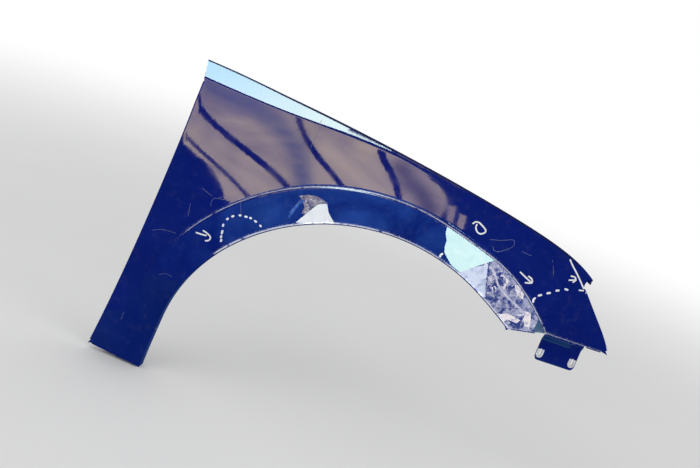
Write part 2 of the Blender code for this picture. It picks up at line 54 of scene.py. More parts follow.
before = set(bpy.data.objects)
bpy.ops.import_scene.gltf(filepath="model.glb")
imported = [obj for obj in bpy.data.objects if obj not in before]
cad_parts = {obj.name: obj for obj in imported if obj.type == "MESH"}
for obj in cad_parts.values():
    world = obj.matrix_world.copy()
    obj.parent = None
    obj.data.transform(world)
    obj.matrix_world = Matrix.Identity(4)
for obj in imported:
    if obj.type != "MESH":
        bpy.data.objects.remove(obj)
cad_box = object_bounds()

PANEL_NODE = "fender_panel"
BODY = "root"

# The panel's sizes, in metres from the centre of the wheel arch, as in the CAD
ORIGIN = Vector((-0.010, 0.08316, 0.46012))
SHEET = 0.0008
EDGE_FOLD = 0.003
HEM_RADIUS = 0.003
WALL_BEND = 0.003
CREASE_ROUND = 0.003

ARCH_RADIUS = 0.360
LEG_FLARE = 0.012
LEG_FLARE_FROM = math.radians(172)
LEG_FLARE_OVER = math.radians(16)
NOSE_FLARE = 0.006
NOSE_FLARE_FROM = math.radians(62)
NOSE_FLARE_OVER = math.radians(13)
BAND_WIDTH = 0.063
STEP_WIDTH = 0.004
STEP_HEIGHT = 0.003
LIP_FLARE = 0.0135
FLARE_FADE_FROM = math.radians(150)
FLARE_FADE_OVER = math.radians(30)
LIP_FLANGE = 0.019

LEG_REAR_X = -0.4775
LEG_REAR_Z = -0.0505
LEG_FRONT_X = -0.366
LEG_FRONT_Z = -0.058
REAR_X = -0.4215
REAR_SWEEP_Z = 0.430
REAR_SWEEP_POWER = 1.62
TOP_REAR_Z = 0.5255
TOP_REAR_RISE = 0.0055
TOP_REAR_RISE_LENGTH = 0.170
TOP_REAR_RISE_POWER = 1.5
TOP_DROP = 0.1046
TOP_DROP_POWER = 1.85
TIP_DROP = 0.020
TIP_DROP_POWER = 18.0
TIP_X = 0.358
TIP_LEAN = 0.009
TIP_LEAN_FADE = 0.030
HORN_BACK = 0.011
HORN_DROP = 0.0105
NOTCH_HEIGHT = 0.007
LAMP_TOP_X = 0.353
LAMP_TOP_Z = 0.380
LAMP_BULGE = 0.0072
LAMP_BULGE_RISE = 1.3
LAMP_BULGE_FALL = 6.0
LOWER_TIP_X = 0.4335
FRONT_BOTTOM_Z = 0.2825
BAND_FOOT_SLOPE = 0.132

LEDGE_WIDTH = 0.042
LEDGE_NOSE_WIDTH = 0.0055
LEDGE_TAPER = 0.410
LEDGE_LEAN = math.radians(50)
LEDGE_NOSE_LEAN = math.radians(20)
LEDGE_LEAN_TAPER = 0.480
LEDGE_REAR_LEAN = 0.0125
LEDGE_REAR_FADE = 0.060

NOSE_SWEEP = 0.085
SWEEP_START_X = -0.450
SWEEP_LENGTH = 0.870
SWEEP_POWER = 2.2
CROWN_RADIUS = 1.35
CROWN_BELOW_TOP = 0.2735
CROWN_SKEW = 0.567

WALL_LEAN = math.radians(5)
GAP_DEPTH = 0.030
GAP_DEPTH_NOSE = 0.010
GAP_TAPER_X = 0.290
FLANGE_WIDTH = 0.013
PAD_FLANGE_WIDTH = 0.028
PAD_SINK = 0.0025
PAD_HALF = 0.026
PAD_JOGGLE = 0.008
PAD_FIRST_X = -0.390
PAD_PITCH = 0.190
PAD_COUNT = 4
ORIGIN_PAD = 2
HOOD_FLANGE_END_X = 0.300

REAR_FLANGE = 0.013
EAR_FLANGE = 0.030
EAR_TOP_Z = 0.480
EAR_BOTTOM_Z = 0.440
EAR_TAPER = 0.008
SILL_FLANGE = 0.012
SILL_EAR_FLANGE = 0.030
SILL_EAR_HALF = 0.023
LAMP_FLANGE = 0.010
BUMPER_FLANGE = 0.012
CORNER_RELIEF = 0.005

TAB_REAR_X = 0.312
TAB_FRONT_X = 0.388
TAB_JOGGLE = 0.014
TAB_JOGGLE_HEIGHT = 0.014
TAB_HEIGHT = 0.0395
TAB_CORNER = 0.007

FIXING_SLOT = (0.008, 0.013)
PAIRED_SLOT_SPACING = 0.034
EAR_HOLE = 0.009
SILL_SLOT = (0.008, 0.014)
LINER_HOLE = 0.006
LINER_HOLE_COUNT = 6
LINER_FIRST_ANGLE = math.radians(66)
LINER_LAST_ANGLE = math.radians(176)
LAMP_HOLE = 0.005
LAMP_HOLE_COUNT = 2
BUMPER_SLOT_X = 0.272
BUMPER_SLOT = (0.005, 0.014)
BUMPER_SLOT_SLOPE = 0.15
TAB_SLOT = (0.005, 0.014)
TAB_SLOT_EDGE = 0.0075
TAB_SLOT_RISE = 0.016
CUTTER_REACH = 0.010

# How far across their flanges the holes sit
LINER_HOLE_SHARE = 0.55
EAR_HOLE_SHARE = 0.6
LAMP_HOLE_SHARE = 0.5
BUMPER_SLOT_SHARE = 0.5

# The painted panel's own: the narrower band ahead of the arch top, the painted shade line of darker
# navy on the hem, and how far the spray reaches round the tip
BAND_WAIST = 0.0085
WAIST_REAR = math.radians(122)
WAIST_MIDDLE = math.radians(74)
WAIST_FRONT = math.radians(57)
HEM_RIM = 0.0024
TIP_SPRAY = 0.030

# Painted highlights: pale lines, with chips in them, along the lip, the crease step and the lower
# front edge. Each has a half width, how far up it lies, where it starts or ends, and its share of
# the full line. The crease has one value behind and one ahead.
LIP_HIGHLIGHT_UP = 0.0033
LIP_HIGHLIGHT_HALF = 0.0030
LIP_HIGHLIGHT_DEPTH = 0.0035
LIP_HIGHLIGHT_END = 2.49
LIP_HIGHLIGHT_FADE = 0.04
CREASE_HIGHLIGHT_HALF = 0.0028
CREASE_HIGHLIGHT_END = 2.54
CREASE_HIGHLIGHT_FADE = 0.12
CREASE_HIGHLIGHT_FRONT_FADE = 0.010
CREASE_HIGHLIGHT_UP = (0.72, 0.35)
CREASE_HIGHLIGHT_UP_OVER = 0.10
CREASE_HIGHLIGHT_SHARE = (0.72, 0.8)
CREASE_HIGHLIGHT_SHARE_FROM_X = -0.05
CREASE_HIGHLIGHT_SHARE_OVER = 0.30
EDGE_HIGHLIGHT_HALF = 0.0025
EDGE_HIGHLIGHT_DEPTH = 0.004
EDGE_HIGHLIGHT_FROM_X = 0.230
EDGE_HIGHLIGHT_SHARE = 0.61

# Shares of the outline, counted from the leg's foot, that the rear and the top edge take
REAR_SHARE = 0.391
TOP_SHARE = 0.470

# How finely the panel is drawn and its places are worked out
COLUMN_SPACING = 0.0095
NOSE_SPACING = 0.006
BAND_ROWS = 12
STEP_ROWS = 6
TAB_ROWS = 14
TAB_ROW_CROWDING = 0.6
TAB_BEND_ROWS = 10
TAB_BEND_FROM = 0.06
TAB_FLAT_ROWS = (0.2, 0.5, 0.75, 1.0)
FRONT_ROWS = 6
BUMPER_FLANGE_ROWS = 8
FOLD_STEPS = 6
HEM_STEPS = 9
BEND_STEPS = 4
CREASE_STEPS = 6
LEDGE_STEPS = 6
FLANGE_ROWS = (0.5, 1.0)
HOLE_SIDES = 24
STROKE_STEP = 0.0025
STROKE_CAP_STEPS = 6
WASHER_ARC_STEPS = 8
SETTLING_ROUNDS = 20
SLOPE_REACH = 0.001
LAMP_SLOPE_SHARE = 0.01
TOLERANCE = 0.0001
MERGE_DISTANCE = 0.00001
PANEL_SMOOTH_ANGLE = math.radians(50)
STROKE_SMOOTH_ANGLE = math.radians(40)

# How high the strokes lie on the panel and how thick they are
PEN_LIFT = 0.00012
PEN_THICKNESS = 0.00010
DOT_WIDENING = 1.4
SCRATCH_LIFT = 0.00006
SCRATCH_THICKNESS = 0.00005
WASHER_LIFT = 0.00010
WASHER_THICKNESS = 0.00008
WASHER_CLEARANCE = 0.0003
WASHER_ARM = 0.0045

# The floor, how far below the panel it and the dark screen lie, and where it fades to white
FLOOR_DROP = 0.002
SCREEN_DROP = 0.0015
FLOOR_RADIUS = 30.0
FLOOR_FADE = (1.2, 4.0)

# Lamps: name, place, width and share of the key lamp's power
LAMPS = [
    ("key_lamp", (-1.8, -2.6, 2.6), 2.2, 1.0),
    ("side_lamp", (2.6, -1.6, 1.2), 1.6, 0.4),
]

# Dents: x, z, half length, half height, turn in degrees and depth in millimetres
DENTS = [
    (-268, 268, 24, 13, 35, 1.0),
    (262, 330, 14, 24, -30, 1.3),
    (236, 300, 16, 18, 20, -0.9),
    (205, 332, 20, 14, -40, 1.1),
    (322, 318, 26, 16, 10, 0.9),
]

# Pen strokes on the outer side, each a run of x, z points in millimetres
PEN_STROKES = [
    [(-337, 238.5), (-327, 239.5), (-317.5, 241)],
    [(-325.5, 247), (-317.5, 245.5), (-310.5, 243), (-308, 239.5), (-310, 234.5), (-315, 232)],
    [(119.5, 426.5), (123, 430.5), (130, 431), (142.5, 424.5), (145.5, 420), (140.5, 414.5), (133, 414.5),
     (127, 420.5), (126.5, 426.5)],
    [(230, 373.5), (242.5, 368), (255, 362.5)],
    [(245, 359), (256, 362.5), (253, 369), (246.5, 371.5)],
    [(317, 388), (328.5, 392)],
    [(318, 396), (325, 396), (328, 391.5), (325, 387)],
    [(305.5, 422), (314.5, 413), (325.5, 403.5), (336.5, 393), (347, 382.5)],
    [(341, 377), (348, 378.5)],
]
PEN_DOTS = [
    [(-287.5, 243), (-287.5, 245)],
    [(-290, 249), (-290, 251)],
    [(-291, 256), (-291.5, 260.5)],
    [(-294, 269), (-294, 271.5)],
    [(-291, 283), (-290, 284.5)],
    [(-284, 291), (-282, 292.5)],
    [(-272, 298), (-270, 298.5)],
    [(-261, 300), (-258.5, 300.5)],
    [(-252, 301), (-250, 301)],
    [(-241.5, 299.5), (-239, 299)],
    [(-229.5, 295.5), (-228, 295)],
    [(86.5, 356), (87, 359.5), (88.5, 361)],
    [(271, 331.5), (270, 336), (271.5, 338.5)],
    [(276, 345), (279.5, 347.5)],
    [(289, 354), (293, 356)],
    [(302.5, 363.5), (306, 365)],
    [(316.5, 371), (320.5, 371)],
]

# Fine scratches, in the same way
SCRATCHES = [
    [(158, 410), (177, 415), (196.5, 422.5), (201, 417.5), (199, 409.5), (181.5, 395.5), (171.5, 394.5),
     (167.5, 400)],
    [(219, 408.5), (237.5, 407)],
    [(275.5, 411.5), (277.5, 408.5)],
    [(280.5, 403), (287, 388)],
    [(-365.5, 283.5), (-362, 259.5)],
    [(-352.5, 317.5), (-341, 313.5), (-332.5, 311)],
    [(-328.5, 293), (-330, 300), (-327, 308.5), (-317, 311), (-304.5, 314)],
    [(-321, 311), (-314, 317)],
    [(-425, 37.5), (-427, 21.5)],
    [(-417, 210.5), (-399, 219), (-374, 221.5)],
    [(-197, 504), (-195, 488), (-195.5, 471.5), (-196.5, 454.5)],
    [(-279, 320.5), (-269, 297.5)],
    [(-380, 136.5), (-367, 144), (-354, 143.5)],
    [(-188, 337), (-182, 354), (-179, 364.5)],
]

# The camera: its place, its turn, and its sensor in millimetres
CAMERA_PLACE = Vector((0.10894, -1.74311, 0.25893))
CAMERA_TURN = (1.33314, -0.34354, 0.18549)
SENSOR_WIDTH = 36.0
CLIP_START = 0.05

# How far the reflectors hang from the panel. Near cards that overlap hang in layers, as shares of
# the near reach.
FAR_REACH = 3.0
GAP_REACH = FAR_REACH * 0.97
NEAR_REACH = 0.020
BACK_LAYER = 0.92
MIDDLE_LAYER = 0.70
GLINT_LAYER = 0.60
FRONT_LAYER = 0.55

# Sizes and heights of single reflectors
SCREEN_RADIUS = 4.2
SKY_HEIGHT = 2.8
GLINT_HEIGHT = 1.8
TAB_CARD_DROP = 0.066
STREAK_WIDTH = 0.0032
WEDGE_WIDTH = 0.0045
BAND_MARGIN = 0.0005

# How finely the cards are drawn
BOARD_COLUMNS = 60
BOARD_ROWS = 14
BOARD_STEP = 0.004
NEAR_CARD_STEP = 0.006
STRIP_STEP = 0.010

# The ceiling card: its left and right sides as x, y pairs in metres, and its share of blue
SKY_PAIRS = [
    ((-1.7, 0.6), (-0.8, 0.7), 1.0),
    ((-1.5, 0.0), (-0.68, 0.25), 1.0),
    ((-1.15, -0.75), (-0.45, -0.3), 0.4),
    ((-0.8, -1.35), (-0.15, -1.1), 0.1),
    ((-0.45, -1.88), (0.1, -1.9), 0.0),
    ((-0.2, -1.86), (0.12, -1.95), 0.0),
    ((0.0, -2.24), (0.25, -2.3), 0.0),
    ((0.155, -2.52), (0.37, -2.55), 0.0),
    ((0.32, -2.815), (0.48, -2.83), 0.0),
    ((0.495, -3.1), (0.60, -3.1), 0.0),
]

# Corners of a dull ceiling card, in metres, and of the tab's card, measured from the tab's rear end
GLINT_CARD = [
    (0.27, -1.9), (0.42, -2.2), (0.68, -2.56), (1.0, -2.8), (1.15, -2.85), (1.15, -2.65), (0.75, -2.35),
    (0.5, -2.0)]
TAB_CARD = [(-0.005, -0.034), (-0.005, 0.005), (0.081, 0.005), (0.081, -0.034)]

# The card of the whole band: its angles, its steps along the arch, those that fade in, and its
# rows, counted from the lip
BAND_CARD_FROM = math.radians(158)
BAND_CARD_TO = math.radians(42)
BAND_CARD_STEPS = 60
BAND_CARD_FADE = 22
BAND_CARD_ROWS = (-0.012, 0.0, 0.02, 0.04, BAND_WIDTH)

# Reflectors, by the x, z places on the panel, in millimetres, where they show: the corners of a
# card, or the middle line of a shade, stripe, streak or wedge. A stripe's width comes first.
BOARDS_LOW = [
    (-460, 400), (-419, 384), (-386, 371), (-355, 360), (-331, 342), (-312, 321), (-303, 290), (-240, 310),
    (-160, 345), (-60, 375), (20, 390), (57, 404)]
BOARDS_HIGH = [
    (-460, 535), (-300, 540), (-141, 525), (-50, 506), (-8, 488), (21, 474), (44, 465), (62, 449),
    (65, 430)]
BLUE_SHADE = [(-440, 500), (-395, 492), (-320, 488), (-270, 474), (-232, 450), (-205, 424), (-188, 392)]
BLUE_SHADE_WIDTH = 0.030
DIM_SHADE = [(-34, 474), (-14, 457), (8, 449), (25, 438), (40, 420)]
DIM_SHADE_WIDTH = 0.031
DARK_STRIPES = [
    (11, [(-429, 466), (-414, 456.5), (-401.5, 446), (-384, 436.5), (-339, 420), (-292, 406), (-246, 391),
          (-208, 374), (-196, 366)]),
    (7, [(-424, 399), (-391, 384), (-343, 366), (-303, 350), (-262, 330)]),
    (10, [(-240, 499), (-234, 491.5), (-218, 473), (-199, 457.5), (-178, 442.5), (-156, 430.5),
          (-134, 418.5), (-117, 408), (-106, 400)]),
    (12, [(-82, 495), (-76, 486.5), (-63.5, 473), (-46.5, 459), (-32, 444.5), (-21, 428.5), (-14, 415),
          (-10, 403)]),
]
BROWN_BARS = [
    [(68, 441), (80, 445), (86, 415), (73, 417)],
    [(91, 434), (104, 435), (107, 411), (95, 412)],
]
WHITE_GAP = [(-172, 324), (-165, 336), (-155, 353), (-148, 365), (-142, 369.5), (-132, 373), (-123, 359.5),
             (-106, 346), (-108, 338), (-138, 328)]
BROWN_GAP = [(-184, 368.5), (-169, 376), (-152.6, 379), (-132, 374.5), (-142, 369.5), (-148, 365),
             (-155, 353), (-162, 343), (-168.5, 342), (-167, 354.5), (-174.5, 362)]
BLUE_WEDGE = [(-187, 327), (-183, 345), (-179, 356), (-172, 365)]
SKY_GAP = [(77, 418), (121, 408), (185, 385), (172, 368), (150, 356), (128, 341), (112, 347), (100, 357),
           (91, 365), (88, 374), (87, 385), (81, 395)]
CRINKLE = [(184, 385), (199, 376), (233, 357), (264, 333), (291, 310), (290, 286), (278, 277), (244, 272),
           (216, 292), (188, 312), (127, 340), (149, 357)]
PALE_CORNER = [(127, 340), (149, 357), (171, 369), (175, 352), (180, 335), (187, 316), (180, 308),
               (150, 320)]
TEAL_CORNER = [(292, 308), (303, 297), (313, 286), (306, 281), (289, 286)]
GLINTS = [
    [(228.5, 350), (235, 352), (250, 339.5), (251, 330), (242, 334), (233, 342)],
    [(220, 294), (234, 300), (246, 298.5), (261, 295), (256, 288.5), (240.5, 290.5), (228, 286)],
    [(265, 312.5), (274, 312.5), (279, 300), (281, 288), (272, 288), (265, 298)],
    [(209.5, 357.5), (215.5, 354), (217, 345.5), (212, 349.5)],
]
FOOT_HAZE = [(-463, 25), (-427, 41), (-414, 82), (-402, 126), (-386.5, 138), (-358, 137), (-334, 139),
             (-346, 94.5), (-356, 35), (-364, -50), (-474, -46)]
PALE_STREAK = [(177, 366), (188, 358), (200, 342), (220, 329), (241, 319), (262, 309)]


def smooth(value):
    """Ease from 0 to 1 with no slope at either end."""
    value = min(max(value, 0.0), 1.0)
    return value * value * (3.0 - 2.0 * value)


def mix(low, high, share):
    return low + (high - low) * share


def top_sweep_z(x):
    along = max(x - REAR_X, 0.0) / (TIP_X - REAR_X)
    return TOP_REAR_Z - TOP_DROP * along ** TOP_DROP_POWER


def top_edge_z(x):
    """Height of the hood-side edge, which turns up at the rear and down at the tip."""
    along = max(x - REAR_X, 0.0)
    rise = TOP_REAR_RISE * max(1.0 - along / TOP_REAR_RISE_LENGTH, 0.0) ** TOP_REAR_RISE_POWER
    fall = TIP_DROP * (along / (TIP_X - REAR_X)) ** TIP_DROP_POWER
    return top_sweep_z(x) + rise - fall


def ledge_width(x):
    return mix(LEDGE_WIDTH, LEDGE_NOSE_WIDTH, smooth((x - REAR_X) / LEDGE_TAPER))


def ledge_lean(x):
    return mix(LEDGE_LEAN, LEDGE_NOSE_LEAN, smooth((x - REAR_X) / LEDGE_LEAN_TAPER))


def shoulder_z(x):
    """Height of the shoulder crease."""
    hem_rise = HEM_RADIUS * (1.0 - math.sin(ledge_lean(x)))
    return top_edge_z(x) - hem_rise - ledge_width(x) * math.cos(ledge_lean(x))


def dent_depth(x, z):
    """How far the dents push the skin inboard."""
    total = 0.0
    for dent_x, dent_z, long, high, turn, depth in DENTS:
        turn = math.radians(turn)
        dx = x * 1000 - dent_x
        dz = z * 1000 - dent_z
        along = (dx * math.cos(turn) + dz * math.sin(turn)) / long
        across = (dz * math.cos(turn) - dx * math.sin(turn)) / high
        total += depth * 0.001 * math.exp(-along * along - across * across)
    return total


def skin_depth(x, z):
    """How far inboard the skin lies from the car's widest plane."""
    along = max(x - SWEEP_START_X, 0.0) / SWEEP_LENGTH
    sweep = NOSE_SWEEP * along ** SWEEP_POWER
    drop = top_sweep_z(x) - CROWN_BELOW_TOP - z
    return sweep + drop * drop / (2.0 * CROWN_RADIUS) - CROWN_SKEW * drop ** 3


def rear_edge_x(z):
    below = max(REAR_SWEEP_Z - z, 0.0) / (REAR_SWEEP_Z - LEG_REAR_Z)
    return REAR_X + (LEG_REAR_X - REAR_X) * below ** REAR_SWEEP_POWER


def leg_bottom_z(x):
    return mix(LEG_REAR_Z, LEG_FRONT_Z, (x - LEG_REAR_X) / (LEG_FRONT_X - LEG_REAR_X))


def lip_opening(angle):
    """How much the lip opens out beyond its circle, towards both of its ends."""
    past = max(angle - LEG_FLARE_FROM, 0.0) / LEG_FLARE_OVER
    before = max(NOSE_FLARE_FROM - angle, 0.0) / NOSE_FLARE_OVER
    return LEG_FLARE * past * past + NOSE_FLARE * before * before


def waist(angle):
    """How much narrower the band is ahead of the arch top."""
    if angle > WAIST_MIDDLE:
        return BAND_WAIST * smooth((WAIST_REAR - angle) / (WAIST_REAR - WAIST_MIDDLE))
    return BAND_WAIST * smooth((angle - WAIST_FRONT) / (WAIST_MIDDLE - WAIST_FRONT))


def arc_radius(from_lip, angle):
    drawn_in = waist(angle) * min(from_lip / BAND_WIDTH, 1.0)
    return ARCH_RADIUS + from_lip - drawn_in + lip_opening(angle) * max(1.0 - from_lip / BAND_WIDTH, 0.0)


def front_bottom_z(x):
    """The lower front edge: level ahead of the band, falling towards the arch lip."""
    band_end = math.sqrt((ARCH_RADIUS + BAND_WIDTH) ** 2 - FRONT_BOTTOM_Z ** 2)
    return FRONT_BOTTOM_Z - BAND_FOOT_SLOPE * max(band_end - x, 0.0)


def flare(from_lip, angle):
    """How far the band round the arch stands out from the skin."""
    width = BAND_WIDTH - waist(angle)
    step = STEP_HEIGHT * smooth((width + STEP_WIDTH - from_lip) / STEP_WIDTH)
    slope = LIP_FLARE * min(max(1.0 - from_lip / width, 0.0), 1.0)
    fade = 1.0 - smooth((angle - FLARE_FADE_FROM) / FLARE_FADE_OVER)
    return (step + slope) * fade


def arch_angle(x, z):
    """Angle round the arch centre from the front, which grows on past the rear below it."""
    return math.atan2(z, x) % math.tau


def outer_point(x, z):
    """The painted surface at any place of the outline, on the band or off it."""
    angle = arch_angle(x, z)
    opening = lip_opening(angle)
    from_lip = (math.hypot(x, z) - ARCH_RADIUS - opening) / (1.0 - opening / BAND_WIDTH)
    if from_lip > BAND_WIDTH:
        from_lip = math.hypot(x, z) - ARCH_RADIUS
    depth = skin_depth(x, z) - flare(from_lip, angle) + dent_depth(x, z)
    return Vector((x, depth, z))


def surface_normal(x, z, surface=outer_point):
    reach = 0.0005
    across = surface(x + reach, z) - surface(x - reach, z)
    upward = surface(x, z + reach) - surface(x, z - reach)
    return across.cross(upward).normalized()


def row_angles(from_lip):
    """Angles at which an arc of the band meets the leg's foot and the front lower edge."""
    start = math.pi
    for _ in range(SETTLING_ROUNDS):
        radius = arc_radius(from_lip, start)
        foot = leg_bottom_z(radius * math.cos(start)) + EDGE_FOLD
        start = math.pi - math.asin(foot / radius)
    end = NOSE_FLARE_FROM
    for _ in range(SETTLING_ROUNDS):
        radius = arc_radius(from_lip, end)
        end = math.asin((front_bottom_z(radius * math.cos(end)) + EDGE_FOLD) / radius)
    return start, end


def band_point(from_lip, share):
    """A point of the arch band, at a share of the way from the leg to the front."""
    start, end = row_angles(from_lip)
    angle = mix(start, end, share)
    radius = arc_radius(from_lip, angle)
    x = radius * math.cos(angle)
    z = radius * math.sin(angle)
    drawn_in = waist(angle) * min(from_lip / BAND_WIDTH, 1.0)
    return Vector((x, skin_depth(x, z) - flare(from_lip - drawn_in, angle) + dent_depth(x, z), z))


def skin_point(x, z):
    return Vector((x, skin_depth(x, z) + dent_depth(x, z), z))


def even_skin_point(x, z):
    """The skin as it was pressed, without its dents."""
    return Vector((x, skin_depth(x, z), z))


def pad_x(index):
    return PAD_FIRST_X + PAD_PITCH * index


def near_pad(x):
    for index in range(PAD_COUNT):
        if abs(x - pad_x(index)) < PAD_HALF + TOLERANCE:
            return index
    return None


def hood_flange_z(x):
    """Upper side of the hood-side flange, level across each pad."""
    index = near_pad(x)
    if index is not None:
        return top_edge_z(pad_x(index)) - GAP_DEPTH - PAD_SINK
    taper = smooth((x - GAP_TAPER_X) / (TIP_X - GAP_TAPER_X))
    return top_edge_z(x) - mix(GAP_DEPTH, GAP_DEPTH_NOSE, taper)


def fill(fixed, spacing):
    """Stations that include every fixed place, with even steps between them."""
    stations = [fixed[0]]
    for low, high in zip(fixed, fixed[1:]):
        count = max(1, round((high - low) / spacing))
        stations += [mix(low, high, step / count) for step in range(1, count + 1)]
    return stations


def top_stations():
    start = rear_edge_x(shoulder_z(REAR_X))
    fixed = [start, HOOD_FLANGE_END_X]
    for index in range(PAD_COUNT):
        for side in (-1.0, 1.0):
            fixed.append(pad_x(index) + side * PAD_HALF)
            fixed.append(pad_x(index) + side * (PAD_HALF + PAD_JOGGLE))
    fixed = sorted(x for x in fixed if start <= x <= HOOD_FLANGE_END_X)
    nose = fill([HOOD_FLANGE_END_X, TIP_X - TIP_LEAN], NOSE_SPACING)
    return fill(fixed, COLUMN_SPACING) + nose[1:]


def rear_stations():
    foot = LEG_REAR_Z + EDGE_FOLD
    corner = shoulder_z(REAR_X) - CREASE_ROUND
    fixed = [foot, foot + CORNER_RELIEF, EAR_BOTTOM_Z - EAR_TAPER, EAR_BOTTOM_Z]
    fixed += [EAR_TOP_Z, EAR_TOP_Z + EAR_TAPER, corner - CORNER_RELIEF, corner]
    return fill(sorted(fixed), COLUMN_SPACING)


def lamp_edge(share):
    """A point (x, z) of the headlamp edge, which bows out above the lower tip."""
    top = Vector((LAMP_TOP_X, LAMP_TOP_Z))
    line = Vector((LOWER_TIP_X, FRONT_BOTTOM_Z)) - top
    out = Vector((-line.y, line.x)).normalized()
    bow = LAMP_BULGE * share ** LAMP_BULGE_RISE * (1.0 - share ** LAMP_BULGE_FALL)
    return top + line * share + out * bow


def lamp_fold(share):
    """Where the skin ends short of the headlamp edge, and the edge's outward direction."""
    along = lamp_edge(min(share + LAMP_SLOPE_SHARE, 1.0)) - lamp_edge(max(share - LAMP_SLOPE_SHARE, 0.0))
    out = Vector((-along.y, 0, along.x)).normalized()
    point = lamp_edge(share)
    return Vector((point.x, 0, point.y)) - out * EDGE_FOLD, out


def lamp_stations():
    length = math.hypot(LOWER_TIP_X - LAMP_TOP_X, LAMP_TOP_Z - FRONT_BOTTOM_Z)
    end = length - EDGE_FOLD
    stations = fill([0.0, CORNER_RELIEF, end - 2 * CORNER_RELIEF, end], NOSE_SPACING)
    return [station / length for station in stations]


def boundary():
    """Outer ends of the columns: (share along the arch, x, z, outward direction, edge)."""
    points = []
    heights = rear_stations()
    for z in heights[:-1]:
        slope = (rear_edge_x(z + SLOPE_REACH) - rear_edge_x(z - SLOPE_REACH)) / (2 * SLOPE_REACH)
        out = Vector((-1.0, 0.0, slope)).normalized()
        share = REAR_SHARE * (z - heights[0]) / (heights[-1] - heights[0])
        points.append((share, rear_edge_x(z) - out.x * EDGE_FOLD, z, out, "rear"))
    stations = top_stations()
    for x in stations:
        share = REAR_SHARE + TOP_SHARE * (x - stations[0]) / (stations[-1] - stations[0])
        points.append((share, x, shoulder_z(x) - CREASE_ROUND, Vector((0, 0, 1)), "top"))
    back = TIP_X - HORN_BACK
    horn_z = top_edge_z(TIP_X) - HORN_DROP
    ends = [(back, horn_z, Vector((1, 0, 0)), "horn")]
    ends.append((back, horn_z - NOTCH_HEIGHT, Vector((1, 0, 0)), "horn"))
    for along in lamp_stations():
        at, out = lamp_fold(along)
        ends.append((at.x, max(at.z, FRONT_BOTTOM_Z + EDGE_FOLD), out, "lamp"))
    left = 1.0 - REAR_SHARE - TOP_SHARE
    for step, (x, z, away, edge) in enumerate(ends):
        points.append((1.0 - left * (1.0 - (step + 1) / len(ends)), x, z, away, edge))
    return points


def body_shares():
    """Rows from the step to the outer edge, crowded at both sides of the tab."""
    start = band_point(BAND_WIDTH + STEP_WIDTH, 1.0).x
    end = lamp_fold(lamp_stations()[-1])[0].x
    tab_front = (TAB_FRONT_X - start) / (end - start)
    relief = CORNER_RELIEF / (end - start)
    last = 1.0 - 2.0 * relief
    shares = []
    for step in range(1, TAB_ROWS + 1):
        even = step / TAB_ROWS
        shares.append(tab_front * mix(even, smooth(even), TAB_ROW_CROWDING))
    shares += [mix(tab_front + relief, last, step / FRONT_ROWS) for step in range(FRONT_ROWS + 1)]
    return shares + [1.0]


class Sheet:
    """The open surface of the panel, lofted as rows of quads before it gets its thickness."""

    def __init__(self):
        self.mesh = bmesh.new()

    def row(self, points):
        return [self.mesh.verts.new(point) for point in points]

    def join(self, first, second):
        for step in range(len(first) - 1):
            corners = (first[step], first[step + 1], second[step + 1], second[step])
            self.mesh.faces.new(corners)

    def strip(self, edge, rows):
        last = edge
        for points in rows:
            new = self.row(points)
            self.join(last, new)
            last = new
        return last


def fold_rows(starts, outs, depths):
    """Rows of a convex fold that turns from the skin to a flange running inboard."""
    rows = []
    for step in range(1, FOLD_STEPS + 1):
        turn = 0.5 * math.pi * step / FOLD_STEPS
        rows.append([
            start + out * EDGE_FOLD * math.sin(turn) + Vector((0, EDGE_FOLD * (1 - math.cos(turn)), 0))
            for start, out in zip(starts, outs)
        ])
    for share in FLANGE_ROWS:
        rows.append([
            point + Vector((0, depth * share, 0)) for point, depth in zip(rows[FOLD_STEPS - 1], depths)
        ])
    return rows


def hood_section(x):
    """Section from the shoulder crease over the hem, down the gap wall and round its bend."""
    lean = ledge_lean(x)
    ledge = Vector((0, math.sin(lean), math.cos(lean)))
    inward = Vector((0, math.cos(lean), -math.sin(lean)))
    crease = Vector((x, skin_depth(x, shoulder_z(x)), shoulder_z(x)))
    lower_z = crease.z - CREASE_ROUND
    lower = Vector((x, skin_depth(x, lower_z), lower_z))
    upper = crease + ledge * min(CREASE_ROUND, ledge_width(x) / 2)
    hem = crease + ledge * ledge_width(x)
    section = []
    for step in range(1, CREASE_STEPS + 1):
        turn = step / CREASE_STEPS
        section.append(lower.lerp(crease, turn).lerp(crease.lerp(upper, turn), turn))
    rim = hem - ledge * min(HEM_RIM, ledge_width(x) / 4)
    section += [upper.lerp(rim, step / (LEDGE_STEPS - 1)) for step in range(1, LEDGE_STEPS)]
    section.append(hem)

    centre = hem + inward * HEM_RADIUS
    wall_heading = math.pi / 2 - WALL_LEAN
    for step in range(1, HEM_STEPS + 1):
        heading = mix(math.pi / 2 - lean, -wall_heading, step / HEM_STEPS)
        around = Vector((0, -math.sin(heading), math.cos(heading)))
        section.append(centre + around * HEM_RADIUS)

    foot = section[-1].copy()
    foot_z = hood_flange_z(x) + WALL_BEND * (1 - math.cos(wall_heading))
    foot.y += (foot.z - foot_z) * math.tan(WALL_LEAN)
    foot.z = foot_z
    section.append(section[-1].lerp(foot, 0.5))
    section.append(foot)
    bend = foot + Vector((0, math.sin(wall_heading), math.cos(wall_heading))) * WALL_BEND
    for step in range(1, BEND_STEPS + 1):
        heading = mix(-wall_heading, 0.0, step / BEND_STEPS)
        section.append(bend + Vector((0, math.sin(heading), -math.cos(heading))) * WALL_BEND)
    return section


